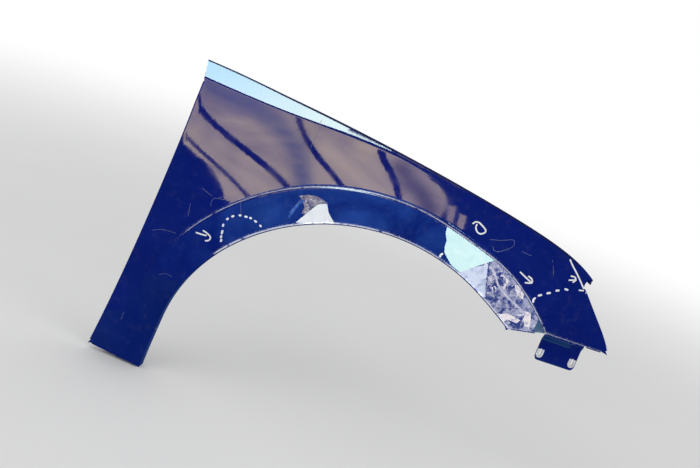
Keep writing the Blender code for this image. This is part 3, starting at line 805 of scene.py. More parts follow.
def ledge_rows(stations):
    """Rows of the hood-side edge, whose ends lean back at the rear and forward at the tip."""
    columns = []
    for x in stations:
        column = hood_section(x)
        crease_y = skin_depth(x, shoulder_z(x))
        hem_y = column[CREASE_STEPS + LEDGE_STEPS - 1].y
        back = LEDGE_REAR_LEAN * (1.0 - smooth((x - stations[0]) / LEDGE_REAR_FADE))
        ahead = TIP_LEAN * smooth(1.0 - (stations[-1] - x) / TIP_LEAN_FADE)
        for point in column:
            share = min(max((point.y - crease_y) / (hem_y - crease_y), 0.0), 1.0)
            reach = x + ahead * share
            point.x = reach - back * share
            point.y += skin_depth(reach, shoulder_z(reach)) - skin_depth(x, shoulder_z(x))
            point.z += top_edge_z(reach) - top_edge_z(x)
        columns.append(column)
    return [list(row) for row in zip(*columns)]


def tab_frame():
    """Rear and front ends of the flat tab, which is a plane that follows the skin's sweep."""
    z = FRONT_BOTTOM_Z - TAB_JOGGLE_HEIGHT - TAB_HEIGHT
    rear = Vector((TAB_REAR_X, skin_depth(TAB_REAR_X, FRONT_BOTTOM_Z) + TAB_JOGGLE, z))
    front = Vector((TAB_FRONT_X, skin_depth(TAB_FRONT_X, FRONT_BOTTOM_Z) + TAB_JOGGLE, z))
    return rear, front


def tab_rows(starts):
    """Rows of the joggle and of the flat tab below the front edge, with its corners rounded."""
    rear, front = tab_frame()
    high = FRONT_BOTTOM_Z - TAB_JOGGLE_HEIGHT
    profile = []
    for step in range(1, TAB_BEND_ROWS + 1):
        along = step / TAB_BEND_ROWS
        inboard = smooth((along - TAB_BEND_FROM) / (1.0 - TAB_BEND_FROM))
        profile.append((inboard, mix(FRONT_BOTTOM_Z + EDGE_FOLD * 0.5, high, along)))
    rows = [[] for _ in range(len(profile) + len(TAB_FLAT_ROWS))]
    for start in starts:
        share = (start.x - starts[0].x) / (starts[-1].x - starts[0].x)
        foot = rear.lerp(front, share)
        skin = skin_depth(foot.x, FRONT_BOTTOM_Z)
        from_side = min(foot.x - rear.x, front.x - foot.x, TAB_CORNER)
        corner = TAB_CORNER - math.sqrt(TAB_CORNER ** 2 - (TAB_CORNER - from_side) ** 2)
        flat = [(1.0, mix(high, foot.z + corner, down)) for down in TAB_FLAT_ROWS]
        for row, (inboard, z) in zip(rows, profile + flat):
            row.append(Vector((foot.x, mix(skin, foot.y, inboard), z)))
    return rows


def fold_along(sheet, verts, outs, depths):
    sheet.strip(verts, fold_rows([vert.co for vert in verts], outs, depths))


def skin_rows(sheet, edge):
    """Rows of the skin from the arch lip, over the band and its step, out to the boundary."""
    band = [EDGE_FOLD] + [
        mix(EDGE_FOLD + CORNER_RELIEF, BAND_WIDTH, step / BAND_ROWS) for step in range(BAND_ROWS + 1)]
    band += [BAND_WIDTH + STEP_WIDTH * step / STEP_ROWS for step in range(1, STEP_ROWS + 1)]
    rows = [sheet.row([band_point(from_lip, point[0]) for point in edge]) for from_lip in band]
    step_row = rows[-1]
    for share in body_shares():
        points = []
        for vert, point in zip(step_row, edge):
            points.append(skin_point(mix(vert.co.x, point[1], share), mix(vert.co.z, point[2], share)))
        rows.append(sheet.row(points))
    for first, second in zip(rows, rows[1:]):
        sheet.join(first, second)
    return rows


def add_hood_edge(sheet, verts):
    """The ledge, hem, gap wall and flange, with the painted shade line marked along the hem."""
    stations = [vert.co.x for vert in verts]
    before = len(sheet.mesh.faces)
    bend = sheet.strip(verts, ledge_rows(stations))
    sheet.mesh.faces.ensure_lookup_table()
    row = len(stations) - 1
    rim = before + row * (CREASE_STEPS + LEDGE_STEPS - 1)
    # Painted shade: the faces of the hem fold get the darker navy of the third material
    for face in sheet.mesh.faces[rim:rim + row * HEM_STEPS]:
        face.material_index = 2

    root = []
    flange = []
    for vert, x in zip(bend[1:], stations[1:]):
        if x <= HOOD_FLANGE_END_X + TOLERANCE:
            wide = FLANGE_WIDTH if near_pad(x) is None else PAD_FLANGE_WIDTH
            root.append(vert)
            flange.append(vert.co + Vector((0, wide, 0)))
    sheet.strip(root, [flange])


def build_sheet():
    """Every surface of the panel as one open sheet, laid out from the arch centre."""
    sheet = Sheet()
    edge = boundary()
    rows = skin_rows(sheet, edge)
    lip = rows[0]
    outer = rows[-1]
    foot = [row[0] for row in rows]
    nose = [row[-1] for row in rows]
    for vert in (lip[0], lip[-1]):
        vert.co.z -= EDGE_FOLD
    outer[0].co = skin_point(LEG_REAR_X, LEG_REAR_Z)
    outer[-1].co = skin_point(LOWER_TIP_X, FRONT_BOTTOM_Z)

    towards = [Vector((-vert.co.x, 0, -vert.co.z)).normalized() for vert in lip]
    fold_along(sheet, lip, towards, [LIP_FLANGE] * len(lip))

    def columns(kind):
        return [step for step, point in enumerate(edge) if point[4] == kind]

    rear = columns("rear")[1:]
    depths = []
    for step in rear:
        on_ear = EAR_BOTTOM_Z - TOLERANCE <= outer[step].co.z <= EAR_TOP_Z + TOLERANCE
        depths.append(EAR_FLANGE if on_ear else REAR_FLANGE)
    fold_along(sheet, [outer[step] for step in rear], [edge[step][3] for step in rear], depths)

    lamp = columns("lamp")
    outer[lamp[0]].co = skin_point(LAMP_TOP_X, LAMP_TOP_Z)
    lamp = lamp[1:-1]
    outs = [edge[step][3] for step in lamp]
    fold_along(sheet, [outer[step] for step in lamp], outs, [LAMP_FLANGE] * len(lamp))

    add_hood_edge(sheet, [outer[step] for step in columns("top")])

    down = Vector((0, 0, -1))
    sill = foot[1:-1]
    middle = (LEG_REAR_X + LEG_FRONT_X) / 2
    depths = []
    for vert in sill:
        on_ear = abs(vert.co.x - middle) <= SILL_EAR_HALF
        depths.append(SILL_EAR_FLANGE if on_ear else SILL_FLANGE)
    fold_along(sheet, sill, [down] * len(sill), depths)

    tab_start = BAND_ROWS + STEP_ROWS + 1
    tab_end = tab_start + TAB_ROWS
    tab = nose[tab_start:tab_end + 1]
    for run in (nose[1:BUMPER_FLANGE_ROWS + 2], nose[tab_end + 1:-1]):
        fold_along(sheet, run, [down] * len(run), [BUMPER_FLANGE] * len(run))
    sheet.strip(tab, tab_rows([vert.co for vert in tab]))
    return sheet.mesh


def pad_middle(index, shift):
    return hood_section(pad_x(index))[-1] + Vector((shift, PAD_FLANGE_WIDTH / 2, 0))


def hole_list():
    """Every hole: its centre, its axis, the direction of its length, its width and length."""
    across = Vector((1, 0, 0))
    inboard = Vector((0, 1, 0))
    upright = Vector((0, 0, 1))
    for index in range(PAD_COUNT):
        shifts = (-PAIRED_SLOT_SPACING / 2, PAIRED_SLOT_SPACING / 2) if index == ORIGIN_PAD else (0.0,)
        for shift in shifts:
            yield pad_middle(index, shift), upright, across, *FIXING_SLOT
    for step in range(LINER_HOLE_COUNT):
        angle = mix(LINER_FIRST_ANGLE, LINER_LAST_ANGLE, step / (LINER_HOLE_COUNT - 1))
        ray = Vector((math.cos(angle), 0, math.sin(angle)))
        centre = ray * arc_radius(0.0, angle)
        depth = skin_depth(centre.x, centre.z) - flare(0.0, angle)
        centre.y = depth + EDGE_FOLD + LIP_FLANGE * LINER_HOLE_SHARE
        yield centre, ray, inboard, LINER_HOLE, LINER_HOLE
    z = (EAR_TOP_Z + EAR_BOTTOM_Z) / 2
    x = rear_edge_x(z)
    centre = Vector((x, skin_depth(x, z) + EDGE_FOLD + EAR_FLANGE * EAR_HOLE_SHARE, z))
    yield centre, across, inboard, EAR_HOLE, EAR_HOLE
    x = (LEG_REAR_X + LEG_FRONT_X) / 2
    z = leg_bottom_z(x)
    centre = Vector((x, skin_depth(x, z) + EDGE_FOLD + SILL_EAR_FLANGE * EAR_HOLE_SHARE, z))
    yield centre, upright, across, *SILL_SLOT
    for step in range(LAMP_HOLE_COUNT):
        share = (step + 1) / (LAMP_HOLE_COUNT + 1)
        at = lamp_edge(share)
        depth = skin_depth(at.x, at.y) + EDGE_FOLD + LAMP_FLANGE * LAMP_HOLE_SHARE
        centre = Vector((at.x, depth, at.y))
        yield centre, lamp_fold(share)[1], inboard, LAMP_HOLE, LAMP_HOLE
    x = BUMPER_SLOT_X
    centre = Vector((x, 0, front_bottom_z(x)))
    radius = math.hypot(centre.x, centre.z) - ARCH_RADIUS
    centre.y = skin_depth(x, centre.z) - flare(radius, arch_angle(x, centre.z)) + EDGE_FOLD
    centre.y += BUMPER_FLANGE * BUMPER_SLOT_SHARE
    yield centre, upright, Vector((1, 0, BUMPER_SLOT_SLOPE)), *BUMPER_SLOT
    rear, front = tab_frame()
    along = (front - rear).normalized()
    for end in tab_slot_centres():
        yield end, along.cross(upright), upright, *TAB_SLOT


def tab_slot_centres():
    rear, front = tab_frame()
    along = (front - rear).normalized()
    rise = Vector((0, 0, TAB_SLOT_RISE))
    return rear + along * TAB_SLOT_EDGE + rise, front - along * TAB_SLOT_EDGE + rise


def deselect():
    bpy.ops.object.select_all(action="DESELECT")


def make_object(name, mesh):
    """Put a bmesh into the scene as an object at the origin, selected and active."""
    data = bpy.data.meshes.new(name)
    mesh.to_mesh(data)
    mesh.free()
    made = bpy.data.objects.new(name, data)
    bpy.context.scene.collection.objects.link(made)
    deselect()
    made.select_set(True)
    bpy.context.view_layer.objects.active = made
    return made


def apply_modifier(made, kind, **values):
    modifier = made.modifiers.new(kind.lower(), kind)
    for key, value in values.items():
        setattr(modifier, key, value)
    bpy.context.view_layer.objects.active = made
    bpy.ops.object.modifier_apply(modifier=modifier.name)


def hole_cutters():
    """One object that holds a prism for every hole."""
    mesh = bmesh.new()
    for centre, axis, along, width, length in hole_list():
        axis = axis.normalized()
        along = (along - axis * along.dot(axis)).normalized()
        turn = Matrix((along, axis.cross(along), axis)).transposed().to_4x4()
        made = bmesh.ops.create_cone(
            mesh, cap_ends=True, segments=HOLE_SIDES, radius1=width / 2, radius2=width / 2,
            depth=CUTTER_REACH, matrix=Matrix.Rotation(math.pi / HOLE_SIDES, 4, "Z"))
        for vert in made["verts"]:
            vert.co.x += math.copysign((length - width) / 2, vert.co.x)
        bmesh.ops.transform(mesh, matrix=Matrix.Translation(centre) @ turn, verts=made["verts"])
    bmesh.ops.translate(mesh, verts=mesh.verts, vec=-ORIGIN)
    return make_object("hole_cutters", mesh)


def place_on_skin(x, z):
    return outer_point(x, z), surface_normal(x, z)


def place_on_tab(x, z):
    rear, front = tab_frame()
    along = (front - rear).normalized()
    point = rear + along * ((x - rear.x) / along.x)
    return Vector((point.x, point.y, z)), along.cross(Vector((0, 0, 1)))


def even_path(points, spacing):
    """A smooth run through the points (x, z in millimetres), in even short steps, in metres."""
    knots = [Vector(point) / 1000 for point in points]
    knots = [knots[0] * 2 - knots[1], *knots, knots[-1] * 2 - knots[-2]]
    path = []
    for first, start, end, last in zip(knots, knots[1:], knots[2:], knots[3:]):
        count = max(1, math.ceil((end - start).length / spacing))
        for step in range(count):
            t = step / count
            bend = (start * 2 + (end - first) * t + (first * 2 - start * 5 + end * 4 - last) * t * t
                    + (start * 3 - first - end * 3 + last) * t ** 3)
            path.append(bend / 2)
    path.append(knots[-2])
    return path


def ribbon(mesh, points, width, lift, place):
    """A flat stroke with round ends that lies on the panel."""
    path = even_path(points, STROKE_STEP)
    half = width / 2

    def add(at):
        point, normal = place(at.x, at.y)
        return mesh.verts.new(point + normal * lift - ORIGIN)

    left = []
    right = []
    for step, at in enumerate(path):
        heading = (path[min(step + 1, len(path) - 1)] - path[max(step - 1, 0)]).normalized()
        side = Vector((-heading.y, heading.x)) * half
        left.append(add(at + side))
        right.append(add(at - side))
    for step in range(len(path) - 1):
        mesh.faces.new((left[step], right[step], right[step + 1], left[step + 1]))
    for end, towards, first, last in (
            (path[0], path[0] - path[1], left[0], right[0]),
            (path[-1], path[-1] - path[-2], right[-1], left[-1])):
        out = towards.normalized() * half
        side = Vector((out.y, -out.x))
        cap = [first]
        for step in range(1, STROKE_CAP_STEPS):
            turn = math.pi * step / STROKE_CAP_STEPS
            cap.append(add(end + side * math.cos(turn) + out * math.sin(turn)))
        mesh.faces.new(cap + [last])


def stroke_object(name, strokes, width, lift, thickness, material, place=place_on_skin):
    """All strokes of one kind as thin closed solids in one object."""
    mesh = bmesh.new()
    for points in strokes:
        ribbon(mesh, points, width, lift, place)
    made = make_object(name, mesh)
    made.data.materials.append(material)
    bpy.ops.object.mode_set(mode="EDIT")
    bpy.ops.mesh.select_all(action="SELECT")
    bpy.ops.mesh.remove_doubles(threshold=MERGE_DISTANCE)
    bpy.ops.object.mode_set(mode="OBJECT")
    if made.data.polygons[0].normal.y > 0:
        made.data.flip_normals()
    apply_modifier(made, "SOLIDIFY", thickness=thickness, offset=-1.0)
    bpy.ops.object.shade_smooth_by_angle(angle=STROKE_SMOOTH_ANGLE)
    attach(made, BODY)
    return made


class Nodes:
    """Short calls for building a material's node tree."""

    def __init__(self, name):
        self.material = bpy.data.materials.new(name)
        self.material.use_nodes = True
        self.tree = self.material.node_tree
        self.shader = self.tree.nodes["Principled BSDF"]
        self.place = self.add("ShaderNodeTexCoord").outputs["Object"]

    def add(self, kind, **values):
        node = self.tree.nodes.new(kind)
        for key, value in values.items():
            setattr(node, key, value)
        return node

    def link(self, output, target):
        self.tree.links.new(output, target)

    def noise(self, scale, detail=2.0, roughness=0.5, distortion=0.0):
        node = self.add("ShaderNodeTexNoise")
        self.link(self.place, node.inputs["Vector"])
        node.inputs["Scale"].default_value = scale
        node.inputs["Detail"].default_value = detail
        node.inputs["Roughness"].default_value = roughness
        node.inputs["Distortion"].default_value = distortion
        return node.outputs["Fac"]

    def spread(self, value, low, high, to_low=0.0, to_high=1.0):
        node = self.add("ShaderNodeMapRange", clamp=True)
        self.link(value, node.inputs["Value"])
        for key, number in (
                ("From Min", low), ("From Max", high), ("To Min", to_low), ("To Max", to_high)):
            node.inputs[key].default_value = number
        return node.outputs["Result"]

    def times(self, first, second):
        node = self.add("ShaderNodeMath", operation="MULTIPLY", use_clamp=True)
        for socket, value in zip(node.inputs, (first, second)):
            if isinstance(value, float):
                socket.default_value = value
            else:
                self.link(value, socket)
        return node.outputs["Value"]

    def blend(self, factor, first, second):
        node = self.add("ShaderNodeMix", data_type="RGBA")
        self.link(factor, node.inputs["Factor"])
        for socket, value in zip((node.inputs[6], node.inputs[7]), (first, second)):
            if isinstance(value, (tuple, list)):
                socket.default_value = value
            else:
                self.link(value, socket)
        return node.outputs[2]

    def attribute(self, name):
        return self.add("ShaderNodeAttribute", attribute_name=name).outputs["Fac"]

    def bump(self, height, distance):
        node = self.add("ShaderNodeBump")
        node.inputs["Distance"].default_value = distance
        self.link(height, node.inputs["Height"])
        self.link(node.outputs["Normal"], self.shader.inputs["Normal"])

    def set(self, **values):
        for key, value in values.items():
            self.shader.inputs[key.replace("_", " ")].default_value = value


def mirrored(x, z, reach, surface=outer_point):
    """Where the camera's line of sight ends, a given reach after it bounces off the panel."""
    point = surface(x, z) - ORIGIN
    sight = (point - CAMERA_PLACE).normalized()
    return point + sight.reflect(surface_normal(x, z, surface)) * reach


def reflector(name, mesh, material):
    """A card that only the gloss of the panel sees."""
    card = make_object(name, mesh)
    card.data.materials.append(material)
    card.visible_camera = False
    card.visible_diffuse = False
    card.visible_shadow = False
    card.visible_transmission = False
    card.visible_volume_scatter = False


def run_lengths(path):
    total = [0.0]
    for first, second in zip(path, path[1:]):
        total.append(total[-1] + (second - first).length)
    return total


def evenly(points, count):
    """A given number of places at even steps along a smooth run."""
    path = even_path(points, BOARD_STEP)
    lengths = run_lengths(path)
    places = []
    for step in range(count):
        target = lengths[-1] * step / (count - 1)
        index = next(i for i, length in enumerate(lengths) if length >= target - 1e-9)
        places.append(path[index])
    return places


def from_run(at, run):
    """Distance of a place from a run of x, z points in millimetres."""
    nearest = 1.0
    for first, second in zip(run, run[1:]):
        start = Vector(first) / 1000
        line = Vector(second) / 1000 - start
        along = min(max((at - start).dot(line) / line.length_squared, 0.0), 1.0)
        nearest = min(nearest, (at - start - line * along).length)
    return nearest


def card_sheet(low_run, high_run, reach):
    """A card between two runs, with attributes that are high along the blue and the dim shade."""
    mesh = bmesh.new()
    shade = mesh.verts.layers.float.new("shade")
    dim = mesh.verts.layers.float.new("dim")
    grid = []
    for low, high in zip(evenly(low_run, BOARD_COLUMNS), evenly(high_run, BOARD_COLUMNS)):
        column = []
        for step in range(BOARD_ROWS):
            at = low.lerp(high, step / (BOARD_ROWS - 1))
            vert = mesh.verts.new(mirrored(at.x, at.y, reach, even_skin_point))
            vert[shade] = 1.0 - smooth(from_run(at, BLUE_SHADE) / BLUE_SHADE_WIDTH)
            vert[dim] = 1.0 - smooth(from_run(at, DIM_SHADE) / DIM_SHADE_WIDTH)
            column.append(vert)
        grid.append(column)
    for first, second in zip(grid, grid[1:]):
        for step in range(BOARD_ROWS - 1):
            mesh.faces.new((first[step], second[step], second[step + 1], first[step + 1]))
    return mesh


def near_card(points, reach, in_band=True):
    """A card with straight sides that hangs close to the panel, and may keep to the band."""
    mesh = bmesh.new()
    corners = [Vector(point) / 1000 for point in points]
    verts = []
    for first, second in zip(corners, corners[1:] + corners[:1]):
        count = max(1, math.ceil((second - first).length / NEAR_CARD_STEP))
        for step in range(count):
            at = first.lerp(second, step / count)
            if in_band:
                angle = arch_angle(at.x, at.y)
                outermost = arc_radius(BAND_WIDTH, angle) - BAND_MARGIN
                at = at.normalized() * min(max(at.length, arc_radius(0.0, angle)), outermost)
            verts.append(mesh.verts.new(mirrored(at.x, at.y, reach)))
    mesh.faces.new(verts)
    return mesh


def card_strip(mesh, points, width, reach, surface=even_skin_point):
    """A narrow card along a run of places."""
    path = even_path(points, STRIP_STEP)
    last = None
    for step, at in enumerate(path):
        heading = (path[min(step + 1, len(path) - 1)] - path[max(step - 1, 0)]).normalized()
        side = Vector((-heading.y, heading.x)) * width / 2
        pair = [mesh.verts.new(mirrored(*(at + side * out), reach, surface)) for out in (1, -1)]
        if last:
            mesh.faces.new((last[0], last[1], pair[1], pair[0]))
        last = pair


def glow(name, low, high, scale, detail=4.0, contrast=(0.35, 0.65), peak=None, shades=()):
    """An even or mottled glow between two colours, with brighter specks or soft shades if given."""
    nodes = Nodes(name)
    tree = nodes.tree
    tree.nodes.remove(nodes.shader)
    emission = nodes.add("ShaderNodeEmission")
    mottle = nodes.spread(nodes.noise(scale, detail, 0.6, 0.6), *contrast)
    shade = nodes.blend(mottle, (*low, 1.0), (*high, 1.0))
    if peak:
        specks = nodes.spread(nodes.noise(scale * 1.3, 5.0, 0.7, 1.5), 0.57, 0.61)
        shade = nodes.blend(specks, shade, (*peak, 1.0))
    for attribute, shaded in shades:
        uneven = nodes.spread(nodes.noise(scale, 5.0, 0.6), 0.3, 0.7, 0.7, 1.0)
        shade = nodes.blend(nodes.times(nodes.attribute(attribute), uneven), shade, (*shaded, 1.0))
    nodes.link(shade, emission.inputs["Color"])
    nodes.link(emission.outputs[0], tree.nodes["Material Output"].inputs["Surface"])
    return nodes.material


def colour(values):
    return (values[0], values[1], values[2], 1.0)


def tone(values, factor):
    return (values[0] * factor, values[1] * factor, values[2] * factor, 1.0)


def outer_paint(settings):
    """Navy gloss paint: faint orange peel, hazing, dust, and painted highlights with chips on raised lines.
    """
    nodes = Nodes("navy_gloss")
    base = colour(settings.paint_color)
    cloud = nodes.spread(nodes.noise(7.0, 3.0), 0.35, 0.65)
    paint = nodes.blend(cloud, tone(base, 0.9), tone(base, 1.1))
    dust = nodes.times(nodes.spread(nodes.noise(60.0, 6.0, 0.7), 0.52, 0.75), settings.dust)
    paint = nodes.blend(dust, paint, (0.20, 0.21, 0.24, 1.0))
    highlight_and_wear = nodes.attribute("highlight_and_wear")
    # Primer specks in the highlight lines: partly real chips, partly painted glints
    chips = nodes.times(nodes.spread(nodes.noise(420.0, 4.0, 0.65), 0.56, 0.60), highlight_and_wear)
    paint = nodes.blend(chips, paint, colour(settings.primer_and_highlight_color))
    # Painted highlight: a continuous pale line of the primer colour along each line
    highlight_line = nodes.times(nodes.spread(highlight_and_wear, 0.45, 0.75), nodes.spread(nodes.noise(90.0, 4.0), 0.32, 0.45))
    paint = nodes.blend(highlight_line, paint, colour(settings.primer_and_highlight_color))
    nodes.link(paint, nodes.shader.inputs["Base Color"])
    haze = nodes.spread(nodes.noise(16.0, 5.0, 0.6), 0.4, 0.8, settings.roughness, settings.roughness * 3)
    scuffed = nodes.add("ShaderNodeMath", operation="MAXIMUM")
    nodes.link(haze, scuffed.inputs[0])
    nodes.link(nodes.spread(highlight_and_wear, 0.1, 0.6, 0.0, 0.3), scuffed.inputs[1])
    nodes.link(scuffed.outputs[0], nodes.shader.inputs["Roughness"])
    nodes.bump(nodes.noise(170.0, 1.5), settings.orange_peel)
    nodes.set(IOR=settings.paint_ior)
    return nodes.material


def hem_painted_shade(settings):
    """Painted shade: darker, duller navy along the rounded fold of the hood-side hem."""
    nodes = Nodes("hem_painted_shade")
    blotches = nodes.spread(nodes.noise(40.0, 4.0, 0.6), 0.35, 0.7)
    # Painted shade: the navy at half and three tenths of its colour
    paint = nodes.blend(blotches, tone(settings.paint_color, 0.5), tone(settings.paint_color, 0.3))
    nodes.link(paint, nodes.shader.inputs["Base Color"])
    nodes.link(nodes.spread(nodes.noise(90.0, 3.0), 0.3, 0.7, 0.5, 0.65), nodes.shader.inputs["Roughness"])
    nodes.set(Specular_IOR_Level=0.1)
    return nodes.material


def inner_coat(settings):
    """Thin dull navy over grey primer on the side that faces the car."""
    nodes = Nodes("inner_coat")
    blotches = nodes.spread(nodes.noise(9.0, 4.0, 0.6), 0.35, 0.7)
    paint = nodes.blend(blotches, tone(settings.paint_color, 0.8), colour(settings.inner_color))
    grime = nodes.times(nodes.spread(nodes.noise(48.0, 7.0, 0.7), 0.5, 0.8), 0.55)
    nodes.link(nodes.blend(grime, paint, (0.11, 0.10, 0.085, 1.0)), nodes.shader.inputs["Base Color"])
    nodes.link(nodes.spread(nodes.noise(30.0, 4.0), 0.3, 0.7, 0.38, 0.6), nodes.shader.inputs["Roughness"])
    nodes.bump(nodes.noise(700.0, 2.0), 0.00008)
    return nodes.material


def pen_ink(settings):
    nodes = Nodes("white_pen_ink")
    patchy = nodes.spread(nodes.noise(350.0, 3.0), 0.4, 0.7)
    ink = nodes.blend(patchy, colour(settings.pen_color), tone(settings.pen_color, 0.82))
    nodes.link(ink, nodes.shader.inputs["Base Color"])
    nodes.link(nodes.spread(nodes.noise(200.0), 0.3, 0.7, 0.35, 0.55), nodes.shader.inputs["Roughness"])
    return nodes.material


def worn_finish(name, values, roughness, metallic=0.0):
    """A rubbed or scratched spot, a little uneven in colour and gloss."""
    nodes = Nodes(name)
    uneven = nodes.spread(nodes.noise(500.0, 4.0, 0.6), 0.35, 0.7)
    worn = nodes.blend(uneven, colour(values), tone(values, 0.72))
    nodes.link(worn, nodes.shader.inputs["Base Color"])
    dull = nodes.spread(nodes.noise(260.0, 3.0), 0.3, 0.7, roughness * 0.8, roughness * 1.2)
    nodes.link(dull, nodes.shader.inputs["Roughness"])
    nodes.set(Metallic=metallic)
    return nodes.material


class FenderPaint(bpy.types.PropertyGroup):
    """Paint of the panel."""

    paint_color: FloatVectorProperty(
        name="Paint", description="Colour of the outer paint", subtype="COLOR",
        default=(0.0028, 0.0100, 0.158), min=0.0, max=1.0)
    inner_color: FloatVectorProperty(
        name="Primer inside", description="Primer that shows on the inner side", subtype="COLOR",
        default=(0.045, 0.055, 0.085), min=0.0, max=1.0)
    # This colour also paints the highlight lines on the lip, the crease and the lower front edge
    primer_and_highlight_color: FloatVectorProperty(
        name="Primer in chips", description="Primer that shows in the paint chips", subtype="COLOR",
        default=(0.62, 0.64, 0.74), min=0.0, max=1.0)
    roughness: FloatProperty(
        name="Roughness", description="Roughness of clean paint", subtype="FACTOR",
        default=0.03, min=0.0, max=1.0)
    paint_ior: FloatProperty(
        name="Refraction", description="Refractive index of the clear coat", default=1.6, min=1.3, max=2.0)
    orange_peel: FloatProperty(
        name="Orange peel", description="Height of the ripple in the clear coat", subtype="DISTANCE",
        default=0.000012, min=0.0, max=0.001, precision=6)
    dust: FloatProperty(
        name="Dust", description="How much dust lies on the paint", subtype="FACTOR",
        default=0.06, min=0.0, max=1.0)


class FenderMarks(bpy.types.PropertyGroup):
    """Pen marks, scratches and rubbed spots."""

    pen_color: FloatVectorProperty(
        name="Pen", description="Colour of the pen marks", subtype="COLOR",
        default=(0.86, 0.88, 0.90), min=0.0, max=1.0)
    pen_width: FloatProperty(
        name="Pen width", description="Width of a pen stroke", subtype="DISTANCE",
        default=0.0026, min=0.0005, max=0.01, precision=4)
    scratch_color: FloatVectorProperty(
        name="Scratch", description="Colour of the scratched clear coat", subtype="COLOR",
        default=(0.10, 0.13, 0.30), min=0.0, max=1.0)
    scratch_width: FloatProperty(
        name="Scratch width", description="Width of a scratch", subtype="DISTANCE",
        default=0.0007, min=0.0001, max=0.005, precision=4)
    bare_color: FloatVectorProperty(
        name="Bare zinc", description="Colour where a washer has rubbed the paint off", subtype="COLOR",
        default=(0.80, 0.81, 0.86), min=0.0, max=1.0)
    washer_width: FloatProperty(
        name="Washer mark width", description="Width of the rubbed ring round a tab slot",
        subtype="DISTANCE", default=0.0036, min=0.001, max=0.01, precision=4)


class FenderStage(bpy.types.PropertyGroup):
    """Floor, lamps, reflectors and camera."""

    floor_color: FloatVectorProperty(
        name="Floor", description="Colour of the floor", subtype="COLOR",
        default=(0.80, 0.80, 0.80), min=0.0, max=1.0)
    focal_length: FloatProperty(
        name="Focal length", description="Focal length of the camera in millimetres",
        default=50.0, min=10.0, max=300.0)
    key_power: FloatProperty(
        name="Key lamp", description="Power of the large soft lamp", subtype="POWER",
        default=26.0, min=0.0, max=1000.0)
    fill_strength: FloatProperty(
        name="Fill", description="Strength of the even light from all round",
        default=0.75, min=0.0, max=5.0)
    show_reflections: BoolProperty(
        name="Reflectors", description="Stand cards round the panel for its gloss to reflect",
        default=True)


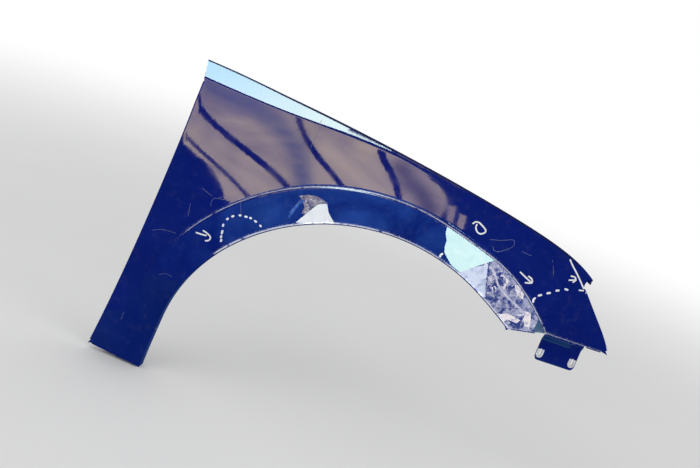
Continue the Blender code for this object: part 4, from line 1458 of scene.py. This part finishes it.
class FENDER_OT_panel(bpy.types.Operator):
    """Build the painted panel in place of the plain CAD solid"""

    bl_idname = "fender.build_panel"
    bl_label = "Painted Panel"

    def execute(self, context):
        settings = context.scene.fender_paint
        mesh = build_sheet()
        bmesh.ops.translate(mesh, verts=mesh.verts, vec=-ORIGIN)
        bmesh.ops.recalc_face_normals(mesh, faces=mesh.faces)
        mesh.faces.ensure_lookup_table()
        if mesh.faces[0].normal.y > 0:
            bmesh.ops.reverse_faces(mesh, faces=mesh.faces)
        panel = make_object("painted_panel", mesh)
        self.mark_highlight_and_wear(panel.data)
        for material in (outer_paint(settings), inner_coat(settings), hem_painted_shade(settings)):
            panel.data.materials.append(material)
        apply_modifier(
            panel, "SOLIDIFY", thickness=SHEET, offset=-1.0, use_even_offset=True,
            use_quality_normals=True, material_offset=1, material_offset_rim=0)
        cutters = hole_cutters()
        apply_modifier(panel, "BOOLEAN", operation="DIFFERENCE", object=cutters, solver="EXACT")
        bpy.data.objects.remove(cutters, do_unlink=True)
        deselect()
        panel.select_set(True)
        self.paint_tip(panel.data)
        bpy.ops.object.shade_smooth_by_angle(angle=PANEL_SMOOTH_ANGLE)
        apply_modifier(panel, "WEIGHTED_NORMAL", keep_sharp=True)
        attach(panel, BODY)
        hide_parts(PANEL_NODE)
        return {"FINISHED"}

    def paint_tip(self, data):
        """The spray reached both sides of the narrow tip."""
        for face in data.polygons:
            at = face.center + ORIGIN
            if at.x > TIP_X - TIP_SPRAY and at.z > LAMP_TOP_Z:
                face.material_index = 0

    def mark_highlight_and_wear(self, data):
        """Give each vertex its share of the painted highlight lines, with their chips."""
        highlight_and_wear = data.attributes.new("highlight_and_wear", "FLOAT", "POINT")
        for vert, share in zip(data.vertices, highlight_and_wear.data):
            at = vert.co + ORIGIN
            depth = at.y - outer_point(at.x, at.z).y
            share.value = max(self.lip_highlight(at, depth), self.crease_highlight(at), self.edge_highlight(at, depth))

    def lip_highlight(self, at, depth):
        """A painted highlight line just above the fold of the arch lip, which stops short of the leg."""
        if depth >= LIP_HIGHLIGHT_DEPTH:
            return 0.0
        angle = arch_angle(at.x, at.z)
        from_lip = math.hypot(at.x, at.z) - ARCH_RADIUS - lip_opening(angle)
        line = max(1.0 - abs(from_lip - LIP_HIGHLIGHT_UP) / LIP_HIGHLIGHT_HALF, 0.0)
        return line * (1.0 - smooth((angle - LIP_HIGHLIGHT_END) / LIP_HIGHLIGHT_FADE))

    def crease_highlight(self, at):
        """A painted highlight line along the step above the band, which fades out at both ends."""
        angle = arch_angle(at.x, at.z)
        share_up = mix(*CREASE_HIGHLIGHT_UP, smooth(at.x / CREASE_HIGHLIGHT_UP_OVER))
        from_crease = (
            math.hypot(at.x, at.z) - ARCH_RADIUS - BAND_WIDTH + waist(angle) - STEP_WIDTH * share_up)
        line = max(1.0 - abs(from_crease) / CREASE_HIGHLIGHT_HALF, 0.0)
        ahead = smooth((at.x - CREASE_HIGHLIGHT_SHARE_FROM_X) / CREASE_HIGHLIGHT_SHARE_OVER)
        line *= mix(*CREASE_HIGHLIGHT_SHARE, ahead)
        if at.x > 0:
            line *= smooth((at.z - FRONT_BOTTOM_Z) / CREASE_HIGHLIGHT_FRONT_FADE)
        return line * (1.0 - smooth((angle - CREASE_HIGHLIGHT_END) / CREASE_HIGHLIGHT_FADE))

    def edge_highlight(self, at, depth):
        """A painted highlight line along the lower front edge."""
        if at.x <= EDGE_HIGHLIGHT_FROM_X or depth >= EDGE_HIGHLIGHT_DEPTH:
            return 0.0
        from_edge = abs(at.z - front_bottom_z(at.x) - EDGE_FOLD)
        return max(1.0 - from_edge / EDGE_HIGHLIGHT_HALF, 0.0) * EDGE_HIGHLIGHT_SHARE


class FENDER_OT_pen_marks(bpy.types.Operator):
    """Draw the white pen marks on the outer side"""

    bl_idname = "fender.draw_pen_marks"
    bl_label = "Pen Marks"

    def execute(self, context):
        settings = context.scene.fender_marks
        ink = pen_ink(settings)
        for name, strokes, width in (
                ("pen_marks", PEN_STROKES, settings.pen_width),
                ("pen_dots", PEN_DOTS, settings.pen_width * DOT_WIDENING)):
            stroke_object(name, strokes, width, PEN_LIFT, PEN_THICKNESS, ink)
        return {"FINISHED"}


class FENDER_OT_scratches(bpy.types.Operator):
    """Draw the fine scratches on the outer side"""

    bl_idname = "fender.draw_scratches"
    bl_label = "Scratches"

    def execute(self, context):
        settings = context.scene.fender_marks
        dull = worn_finish("scratched_paint", settings.scratch_color, 0.5)
        stroke_object(
            "scratches", SCRATCHES, settings.scratch_width, SCRATCH_LIFT, SCRATCH_THICKNESS, dull)
        return {"FINISHED"}


class FENDER_OT_washer_marks(bpy.types.Operator):
    """Rub a bare ring round each slot of the tab"""

    bl_idname = "fender.rub_washer_marks"
    bl_label = "Washer Marks"

    def execute(self, context):
        settings = context.scene.fender_marks
        width, length = TAB_SLOT
        radius = (width + settings.washer_width) / 2 + WASHER_CLEARANCE
        foot = (width - length) / 2
        rings = []
        for centre in tab_slot_centres():
            turns = [
                math.radians(90 - 180 * step / WASHER_ARC_STEPS) for step in range(WASHER_ARC_STEPS + 1)]
            arc = [(radius * math.sin(turn), foot - radius * math.cos(turn)) for turn in turns]
            around = [(radius, WASHER_ARM), (radius, 0.0), *arc, (-radius, 0.0), (-radius, WASHER_ARM)]
            rings.append([((centre.x + x) * 1000, (centre.z + z) * 1000) for x, z in around])
        bare = worn_finish("rubbed_zinc", settings.bare_color, 0.45, 0.15)
        stroke_object(
            "washer_marks", rings, settings.washer_width, WASHER_LIFT, WASHER_THICKNESS, bare,
            place_on_tab)
        return {"FINISHED"}


class FENDER_OT_reflectors(bpy.types.Operator):
    """Hang the cards that the gloss of the panel reflects"""

    bl_idname = "fender.hang_reflectors"
    bl_label = "Reflectors"

    def execute(self, context):
        if not context.scene.fender_stage.show_reflections:
            return {"FINISHED"}
        self.dark_screen()
        self.overhead_card()
        self.wall_cards()
        self.band_cards()
        self.low_cards()
        return {"FINISHED"}

    def dark_screen(self):
        """A dark dome round the panel keeps its paint deep; it flattens just above the floor."""
        deselect()
        bpy.ops.mesh.primitive_uv_sphere_add(segments=32, ring_count=16, radius=SCREEN_RADIUS)
        dome = bpy.context.active_object
        mesh = bmesh.new()
        mesh.from_mesh(dome.data)
        bpy.data.objects.remove(dome, do_unlink=True)
        for vert in mesh.verts:
            vert.co.z = max(vert.co.z, cad_box[0].z - SCREEN_DROP)
        dark = glow("dark_screen", (0.0, 0.004, 0.02), (0.035, 0.10, 0.24), 0.6)
        reflector("reflector_screen", mesh, dark)

    def overhead_card(self):
        """A pale card over the hood-side ledge, bluer at the rear, and a dull one for its front end."""
        mesh = bmesh.new()
        shade = mesh.verts.layers.float.new("shade")
        last = None
        for left, right, blue in SKY_PAIRS:
            pair = [mesh.verts.new((x, y, SKY_HEIGHT)) for x, y in (left, right)]
            for vert in pair:
                vert[shade] = blue
            if last:
                mesh.faces.new((last[0], last[1], pair[1], pair[0]))
            last = pair
        sky = glow(
            "pale_sky", (13.6, 16.6, 15.0), (14.4, 17.4, 15.6), 0.5,
            shades=(("shade", (6.3, 10.8, 12.6)),))
        reflector("reflector_sky", mesh, sky)
        mesh = bmesh.new()
        mesh.faces.new([mesh.verts.new((x, y, GLINT_HEIGHT)) for x, y in GLINT_CARD])
        reflector("reflector_glint", mesh, glow("dull_glint", (1.8, 1.2, 0.4), (3.0, 2.0, 0.8), 1.5))

    def wall_cards(self):
        """Brown boards with dark gaps, for the upper half of the panel."""
        boards = card_sheet(BOARDS_LOW, BOARDS_HIGH, FAR_REACH)
        brown = glow(
            "brown_boards", (3.2, 2.5, 1.8), (6.2, 4.9, 2.9), 1.1, 6.0, (0.36, 0.64),
            shades=(("shade", (1.0, 1.1, 1.4)), ("dim", (1.0, 0.75, 0.2))))
        reflector("reflector_boards", boards, brown)

        gaps = bmesh.new()
        for width, points in DARK_STRIPES:
            card_strip(gaps, points, width / 1000, GAP_REACH)
        dark = glow("dark_gaps", (0.0, 0.0, 0.05), (0.05, 0.03, 0.15), 2.0)
        reflector("reflector_gaps", gaps, dark)
        bars = bmesh.new()
        for points in BROWN_BARS:
            corners = [mirrored(x / 1000, z / 1000, GAP_REACH, even_skin_point) for x, z in points]
            bars.faces.new([bars.verts.new(corner) for corner in corners])
        reflector("reflector_bars", bars, brown)

    def band_cards(self):
        """Near cards for the band, in place of what the whole yard would show in it."""
        self.whole_band()
        patches = (
            ("pale", SKY_GAP, BACK_LAYER, glow("pale_gap", (11.5, 16.5, 14.5), (13.5, 18.0, 15.5), 40.0)),
            ("crinkle", CRINKLE, BACK_LAYER, glow(
                "crinkled_glints", (0.5, 0.8, 1.8), (6.5, 6.8, 7.6), 62.0, 7.0, (0.44, 0.58),
                peak=(15.0, 14.0, 13.0))),
            ("corner", PALE_CORNER, MIDDLE_LAYER, glow(
                "lavender_gap", (6.5, 7.5, 9.0), (12.0, 13.2, 14.0), 60.0, 4.0, (0.30, 0.50))),
            ("teal", TEAL_CORNER, MIDDLE_LAYER, glow("teal_gap", (0.5, 1.3, 0.8), (1.2, 2.2, 1.6), 60.0)),
            ("white", WHITE_GAP, BACK_LAYER, glow(
                "white_gap", (13.5, 14.2, 12.5), (15.0, 15.8, 14.0), 60.0)),
            ("brown", BROWN_GAP, MIDDLE_LAYER, glow(
                "brown_gap", (1.5, 1.3, 1.0), (5.2, 4.6, 3.4), 90.0, 5.0, (0.40, 0.60),
                peak=(12.0, 12.5, 11.0))),
        )
        for name, points, layer, material in patches:
            reflector("reflector_" + name, near_card(points, NEAR_REACH * layer), material)
        streaks = (
            ("streak", PALE_STREAK, STREAK_WIDTH, glow(
                "pale_streak", (7.0, 7.0, 8.0), (12.0, 11.6, 11.8), 60.0)),
            ("wedge", BLUE_WEDGE, WEDGE_WIDTH, glow("blue_wedge", (0.1, 0.5, 1.6), (1.4, 3.4, 7.5), 110.0)),
        )
        for name, points, width, material in streaks:
            mesh = bmesh.new()
            card_strip(mesh, points, width, NEAR_REACH * FRONT_LAYER, outer_point)
            reflector("reflector_" + name, mesh, material)
        cream = glow("cream_glints", (8.0, 7.6, 7.6), (15.0, 14.0, 12.5), 120.0, 5.0, (0.36, 0.50))
        for step, points in enumerate(GLINTS):
            card = near_card(points, NEAR_REACH * GLINT_LAYER)
            reflector("reflector_glint_%d" % (step + 1), card, cream)

    def whole_band(self):
        """A dim blue card over the whole band, which fades in from the leg."""
        strip = bmesh.new()
        shade = strip.verts.layers.float.new("shade")
        last = None
        for step in range(BAND_CARD_STEPS + 1):
            angle = mix(BAND_CARD_FROM, BAND_CARD_TO, step / BAND_CARD_STEPS)
            run = []
            for from_lip in BAND_CARD_ROWS:
                radius = arc_radius(max(from_lip, 0.0), angle)
                point = mirrored(radius * math.cos(angle), radius * math.sin(angle), NEAR_REACH)
                if from_lip < 0:
                    point += Vector((math.cos(angle), 0, math.sin(angle))) * from_lip
                vert = strip.verts.new(point)
                vert[shade] = 1.0 - smooth(step / BAND_CARD_FADE)
                run.append(vert)
            if last:
                for low in range(len(run) - 1):
                    strip.faces.new((last[low], last[low + 1], run[low + 1], run[low]))
            last = run
        blue = glow(
            "blue_haze", (0.0, 0.08, 0.3), (0.22, 0.85, 2.7), 11.0, 6.0, (0.36, 0.66),
            shades=(("shade", (0.0, 0.0, 0.03)),))
        reflector("reflector_band", strip, blue)

    def low_cards(self):
        """A faint haze on the foot of the leg, and a teal one on the bend of the tab."""
        haze = glow("foot_haze", (0.0, 0.06, 0.0), (0.05, 0.15, 0.02), 6.0)
        reflector("reflector_foot", near_card(FOOT_HAZE, NEAR_REACH, False), haze)
        mesh = bmesh.new()
        for from_rear, from_skin in TAB_CARD:
            x = TAB_REAR_X + from_rear
            y = skin_depth(x, FRONT_BOTTOM_Z) + from_skin
            mesh.verts.new(Vector((x, y, FRONT_BOTTOM_Z - TAB_CARD_DROP)) - ORIGIN)
        mesh.faces.new(mesh.verts)
        reflector("reflector_tab", mesh, glow("teal_haze", (0.1, 0.6, 0.4), (0.4, 1.1, 0.7), 30.0))


class FENDER_OT_stage(bpy.types.Operator):
    """Set up the floor, the lamps and the camera"""

    bl_idname = "fender.set_stage"
    bl_label = "Stage"

    def execute(self, context):
        settings = context.scene.fender_stage
        self.floor(settings)
        self.world(context.scene, settings)
        self.lamps(settings)
        self.camera(context.scene, settings)
        context.scene.view_settings.view_transform = "Standard"
        return {"FINISHED"}

    def floor(self, settings):
        """A pale floor that keeps the shadow near the panel and fades to white farther off."""
        deselect()
        place = (0, 0, cad_box[0].z - FLOOR_DROP)
        bpy.ops.mesh.primitive_circle_add(
            vertices=64, radius=FLOOR_RADIUS, fill_type="NGON", location=place)
        floor = bpy.context.active_object
        bpy.ops.object.transform_apply(location=True, rotation=True, scale=True)
        floor.name = "studio_floor"
        nodes = Nodes("studio_floor")
        uneven = nodes.spread(nodes.noise(3.0), 0.3, 0.7)
        pale = nodes.blend(uneven, tone(settings.floor_color, 0.98), colour(settings.floor_color))
        nodes.link(pale, nodes.shader.inputs["Base Color"])
        nodes.set(Roughness=0.9, Specular_IOR_Level=0.1)
        distance = nodes.add("ShaderNodeVectorMath", operation="LENGTH")
        nodes.link(nodes.place, distance.inputs[0])
        fade = nodes.spread(distance.outputs["Value"], *FLOOR_FADE)
        fade.node.interpolation_type = "SMOOTHSTEP"
        seen = nodes.add("ShaderNodeLightPath")
        share = nodes.times(fade, seen.outputs["Is Camera Ray"])
        white = nodes.add("ShaderNodeEmission")
        mixed = nodes.add("ShaderNodeMixShader")
        nodes.link(share, mixed.inputs[0])
        nodes.link(nodes.shader.outputs[0], mixed.inputs[1])
        nodes.link(white.outputs[0], mixed.inputs[2])
        nodes.link(mixed.outputs[0], nodes.tree.nodes["Material Output"].inputs["Surface"])
        floor.data.materials.append(nodes.material)

    def world(self, scene, settings):
        """White where the camera or the gloss sees it, and a plain fill light otherwise."""
        world = bpy.data.worlds.new("studio")
        scene.world = world
        world.use_nodes = True
        tree = world.node_tree
        fill_light = tree.nodes["Background"]
        fill_light.inputs["Color"].default_value = (1.0, 1.0, 1.0, 1.0)
        fill_light.inputs["Strength"].default_value = settings.fill_strength
        white = tree.nodes.new("ShaderNodeBackground")
        white.inputs["Color"].default_value = (1.0, 1.0, 1.0, 1.0)
        path = tree.nodes.new("ShaderNodeLightPath")
        seen = path.outputs["Is Camera Ray"]
        for kind in ("Is Glossy Ray", "Is Transmission Ray"):
            either = tree.nodes.new("ShaderNodeMath")
            either.operation = "MAXIMUM"
            tree.links.new(seen, either.inputs[0])
            tree.links.new(path.outputs[kind], either.inputs[1])
            seen = either.outputs[0]
        mixed = tree.nodes.new("ShaderNodeMixShader")
        tree.links.new(seen, mixed.inputs[0])
        tree.links.new(fill_light.outputs[0], mixed.inputs[1])
        tree.links.new(white.outputs[0], mixed.inputs[2])
        tree.links.new(mixed.outputs[0], tree.nodes["World Output"].inputs["Surface"])

    def lamps(self, settings):
        for name, place, size, share in LAMPS:
            deselect()
            bpy.ops.object.light_add(type="AREA", location=place)
            lamp = bpy.context.active_object
            lamp.name = name
            lamp.data.energy = settings.key_power * share
            lamp.data.size = size
            lamp.rotation_euler = Vector(place).to_track_quat("Z", "Y").to_euler()
            lamp.visible_glossy = False

    def camera(self, scene, settings):
        deselect()
        bpy.ops.object.camera_add(location=CAMERA_PLACE, rotation=CAMERA_TURN)
        camera = bpy.context.active_object
        camera.name = "photo_camera"
        camera.data.lens = settings.focal_length
        camera.data.sensor_width = SENSOR_WIDTH
        camera.data.clip_start = CLIP_START
        scene.camera = camera


class FENDER_PT_dressing(bpy.types.Panel):
    """Sizes, colours and build steps of the fender"""

    bl_idname = "FENDER_PT_dressing"
    bl_label = "Car Fender"
    bl_space_type = "VIEW_3D"
    bl_region_type = "UI"
    bl_category = "Fender"

    def draw(self, context):
        scene = context.scene
        steps = (
            (scene.fender_paint, (FENDER_OT_panel,)),
            (scene.fender_marks, (FENDER_OT_pen_marks, FENDER_OT_scratches, FENDER_OT_washer_marks)),
            (scene.fender_stage, (FENDER_OT_reflectors, FENDER_OT_stage)),
        )
        for group, operators in steps:
            box = self.layout.box()
            for key in group.__annotations__:
                box.prop(group, key)
            for operator in operators:
                box.operator(operator.bl_idname)


classes = (
    FenderPaint,
    FenderMarks,
    FenderStage,
    FENDER_OT_panel,
    FENDER_OT_pen_marks,
    FENDER_OT_scratches,
    FENDER_OT_washer_marks,
    FENDER_OT_reflectors,
    FENDER_OT_stage,
    FENDER_PT_dressing,
)


def register():
    for item in classes:
        bpy.utils.register_class(item)
    bpy.types.Scene.fender_paint = PointerProperty(type=FenderPaint)
    bpy.types.Scene.fender_marks = PointerProperty(type=FenderMarks)
    bpy.types.Scene.fender_stage = PointerProperty(type=FenderStage)


def unregister():
    del bpy.types.Scene.fender_stage
    del bpy.types.Scene.fender_marks
    del bpy.types.Scene.fender_paint
    for item in reversed(classes):
        bpy.utils.unregister_class(item)


def main():
    register()
    bpy.ops.fender.build_panel()
    bpy.ops.fender.draw_pen_marks()
    bpy.ops.fender.draw_scratches()
    bpy.ops.fender.rub_washer_marks()
    bpy.ops.fender.hang_reflectors()
    bpy.ops.fender.set_stage()


if __name__ == "__main__":
    main()
